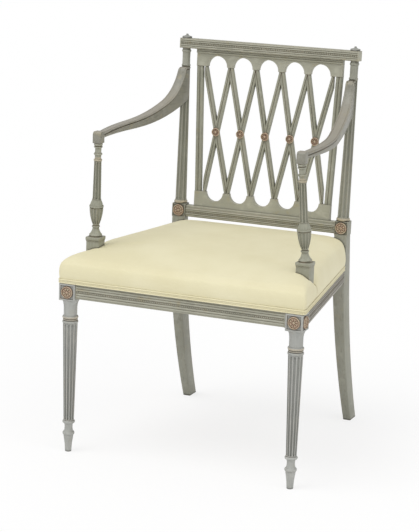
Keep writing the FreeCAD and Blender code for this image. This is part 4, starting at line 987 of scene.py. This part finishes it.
def stuffed_seat():
    """The whole pad before it is cut: a top, walls and a hollow underside."""
    deep = seat_lines(seat_rear - seat_front, 30)
    columns = seat_lines(2 * seat_half, 38)
    count, rows = len(columns), len(deep)

    def plan(i, j):
        """Place of a grid point, and its distance in from each side."""
        y = seat_front + deep[j]
        half = side_face(y) + cloth_out
        inset = min(columns[i], columns[-1] - columns[i])
        if inset <= edge_steps[-1]:
            x = half - inset
        else:
            x = (half - edge_steps[-1]) * abs(columns[i] - seat_half) \
                / (seat_half - edge_steps[-1])
        side_in, front_in = half - x, deep[j]
        # The two front corners are rounded in plan
        a, b = corner - side_in, corner - front_in
        if a > 0 and b > 0:
            share = max(a, b) / hypot(a, b)
            x, y = half - corner + a * share, seat_front + corner - b * share
        x = copysign(x, columns[i] - seat_half)
        return x, y, side_in, front_in, seat_rear - y

    def pulled(i, j, out):
        """A point of the rim, pulled out or in."""
        x, y = plan(i, j)[:2]
        if i in (0, count - 1):
            x += out * copysign(1, x)
        if j == 0:
            y -= out
        elif j == rows - 1:
            y += min(out, 0)
        return x, y

    spots = [(i, j) for j in range(rows) for i in range(count)]
    points = []
    for i, j in spots:
        x, y, *inward = plan(i, j)
        uneven = 1.4 * noise.noise(Vector((x, y, 0)) / 110) * min(1, min(inward[:2]) / 40)
        points.append((x, y, crown(x, y, *inward) + uneven))
    for i, j in spots:
        on_rail = min(plan(i, j)[2:]) < 4.5
        points.append((*pulled(i, j, -2.2), 377.4 if on_rail else 382.8))
    quads = [(a, a + 1, a + count + 1, a + count)
             for j in range(rows - 1) for a in range(j * count, (j + 1) * count - 1)]
    faces = quads + [tuple(len(spots) + a for a in quad[::-1]) for quad in quads]
    rim = [(i, 0) for i in range(count)] + [(count - 1, j) for j in range(1, rows)]
    rim += [(i, rows - 1) for i in range(count - 2, -1, -1)]
    rim += [(0, j) for j in range(rows - 2, 0, -1)]
    loops = [[j * count + i for i, j in rim]]
    for z, out in ((405, 0.6), (397, 0.8), (391, 0.3), (388, -0.9), (384, -1.9)):
        loops.append(range(len(points), len(points) + len(rim)))
        for i, j in rim:
            at_side = i in (0, count - 1)
            pleat = j == 3 and at_side
            x, y = pulled(i, j, out - 1.1 * pleat)
            wave = 0.35 * noise.noise(Vector((x, y, z * 0.4)) / 45)
            points.append((x + wave * copysign(1, x) * at_side, y - wave * (j == 0), z))
    loops.append([len(spots) + j * count + i for i, j in rim])
    for above, below in zip(loops, loops[1:]):
        for k in range(len(rim)):
            m = (k + 1) % len(rim)
            faces.append((above[k], below[k], below[m], above[m]))
    return points, faces


def carve(thing, cutters):
    """Cuts shapes out of a piece and leaves nothing of them."""
    cutter = shaped("cutter", together(*cutters))
    cut = thing.modifiers.new("cut", "BOOLEAN")
    cut.operation, cut.solver, cut.object = "DIFFERENCE", "MANIFOLD", cutter
    settle(thing)
    bpy.data.objects.remove(cutter)


def settle(thing):
    """Makes what the modifiers of a piece show its own mesh."""
    seen = thing.evaluated_get(bpy.context.evaluated_depsgraph_get())
    mesh = bpy.data.meshes.new_from_object(seen)
    thing.modifiers.clear()
    thing.data = mesh
    mesh.shade_smooth()


def swell(pad, push=4.0, most=3.5 * mm, frames=20):
    """Lets the cloth of the pad swell a little, held along its walls and where it is cut."""
    held = pad.vertex_groups.new(name="held")
    start = [point.co.copy() for point in pad.data.vertices]
    for i, place in enumerate(start):
        x, y, z = abs(place.x) / mm, place.y / mm - front_y, place.z / mm
        inset = min(side_face(y) + cloth_out - x, y - seat_front, seat_rear - y)
        cut = min(hypot(x - 250, y - 85), hypot(x - 210, y - 430))
        grip = 1 - 0.97 * min(1, max(0, inset - 4) / 26) * min(1, max(0, cut - 24) / 40)
        held.add([i], 1 if z < wall_top - 2 else grip, "REPLACE")
    cloth = pad.modifiers.new("cloth", "CLOTH")
    stuff = cloth.settings
    stuff.quality, stuff.mass = 6, 0.3
    stuff.tension_stiffness = stuff.compression_stiffness = 15
    stuff.shear_stiffness, stuff.bending_stiffness = 5, 0.5
    stuff.vertex_group_mass, stuff.pin_stiffness = "held", 1
    stuff.use_pressure, stuff.uniform_pressure_force = True, push
    stuff.effector_weights.gravity = 0
    cloth.collision_settings.use_collision = False
    cloth.point_cache.frame_start, cloth.point_cache.frame_end = 1, frames
    scene.frame_start, scene.frame_end = 1, frames
    graph = bpy.context.evaluated_depsgraph_get()
    for frame_at in range(1, frames + 1):
        scene.frame_set(frame_at)
        graph.update()
    seen = pad.evaluated_get(graph)
    swelled = [point.co.copy() for point in seen.data.vertices]
    scene.frame_set(1)
    pad.modifiers.clear()
    pad.vertex_groups.clear()
    for point, before, after in zip(pad.data.vertices, start, swelled):
        step = after - before
        point.co = before + step * min(1, most / max(step.length, 1e-9))


seat = piece("seat_cover_stuffed", stuffed_seat(), cream_cloth, "seat_cushion", 60)
even = seat.modifiers.new("even", "REMESH")
even.mode, even.voxel_size = "VOXEL", 6 * mm
settle(seat)
swell(seat)
smooth = seat.modifiers.new("smooth", "SUBSURF")
smooth.levels = smooth.render_levels = 1
settle(seat)
holes, slits = [], []
for s in (-1, 1):
    holes += [block((s * 226.2, 64.7, 340), (s * 256.8, 95.3, 500), 0),
              block((s * 182.3, 417.5, 340), (s * 320, 480, 500), 0)]
    points, faces = block((-20, -0.9, 0), (20, 0.9, 90), 0)
    slit = [(x, y * (1.7 + z / 10), z) for x, y, z in points], faces
    slits.append(moved(slit, Matrix.Translation((s * 276.5, 96, 397.5))))
carve(seat, slits)
carve(seat, holes)
seat.data.set_sharp_from_angle(angle=radians(60))

# Hem: a double welt of the same cloth, glued round the foot of the cover over its tacks, from one
# post round the front to the other and along the back.


def hem_line(out, radius=7):
    """Plan of the hem from one post round the front to the other."""
    line = []
    rear, halfway = 416.5, 220
    corner_y = seat_front + 0.8 - out + radius
    for s in (1, -1):
        side = [(s * (side_face(y) + out), y) for y in (rear, halfway, corner_y)]
        middle = side_face(corner_y) + out - radius
        for i in range(1, 7):
            a = pi / 2 * i / 6
            side.append((s * (middle + radius * cos(a)), corner_y - radius * sin(a)))
        line += side[::s]
    return line


def strip(plan, section):
    """A strip that follows a plan line. The section is (out from the line, height)."""
    points = []
    for k, (x, y) in enumerate(plan):
        before, after = plan[max(k - 1, 0)], plan[min(k + 1, len(plan) - 1)]
        way = Vector((after[0] - before[0], after[1] - before[1])).normalized()
        for out, z in section:
            points.append((x - way.y * out, y + way.x * out, z))
    return points, ringed(len(plan), len(section), ends=True)


welt = [(0, 377.35), *bead(0.4, 1.7, 377.4, 380.6, 5), (0.5, 380.9),
        *bead(0.5, 1.1, 381.1, 383.3, 3), (0.5, 383.5),
        *bead(0.4, 1.8, 383.7, 386.9, 5), (0, 386.95)]
hem = together(strip(hem_line(0.2), welt), strip([(-181.5, 438), (181.5, 438)], welt))
piece("hem_welted", hem, cream_cloth, "seat_hem", 60)

# Floor, light and camera: a white floor under soft light, seen from the left front. The floor
# shows white to the camera and in gloss, but for the shadow of the chair.
sheet = bpy.data.meshes.new("floor")
reach = 60.0
sheet.from_pydata([(-reach, -reach, 0), (reach, -reach, 0), (reach, reach, 0), (-reach, reach, 0)],
                  [], [(0, 1, 2, 3)])
floor_paint = finish("floor", lambda coat: {}, Base_Color=(0.97, 0.97, 0.97, 1), Roughness=0.9,
                     Specular_IOR_Level=0.0)
sheet.materials.append(floor_paint)
stood("floor", sheet)
tree = floor_paint.node_tree
coat = Coat(tree)
seen = coat.node("ShaderNodeLightPath", output=0)
for ray in (3, 6):
    seen = seen + coat.node("ShaderNodeLightPath", output=ray)
white = coat.node("ShaderNodeEmission", None, {"Color": (1, 1, 1, 1), "Strength": 1.0})
matt = Coat(tree, tree.nodes["Principled BSDF"].outputs[0])
share = 0.76
paper = coat.node("ShaderNodeMixShader", None, {0: seen.held() * share, 1: matt, 2: white})
tree.links.new(paper.socket, tree.nodes["Material Output"].inputs["Surface"])

sky = bpy.data.worlds.new("room")
sky.use_nodes = True
air = sky.node_tree.nodes["Background"].inputs
air["Color"].default_value, air["Strength"].default_value = (1, 1, 1, 1), 0.55
scene.world = sky


def aimed(azimuth, elevation):
    """Turns a z axis towards a place this far round from the front and this far up."""
    return Matrix.Rotation(radians(azimuth), 4, "Z") \
        @ Matrix.Rotation(radians(90 - elevation), 4, "X")


def lamp(name, azimuth, elevation, share, spread):
    """A far soft lamp that gives a level floor this share of full light."""
    light = bpy.data.lights.new(name, "SUN")
    light.energy = share * pi / sin(radians(elevation))
    light.angle = radians(spread)
    stood(name, light).matrix_world = aimed(azimuth, elevation) @ Matrix.Translation((0, 0, 3))


lamp("key_lamp", -35, 63, 0.34, 36)
lamp("fill_lamp", 60, 40, 0.14, 60)

camera = stood("camera", bpy.data.cameras.new("camera"))
camera.data.lens = 129.85
camera.data.sensor_width = 36
camera.data.clip_end = 200
tilt = Matrix.Rotation(radians(1.9045), 4, "Z")
camera.matrix_world = Matrix.Translation((1.5549, front_y * mm - 3.5651, 1.3187)) \
    @ aimed(22.7358, 12.6579) @ tilt
scene.camera = camera
scene.view_settings.view_transform = "Standard"
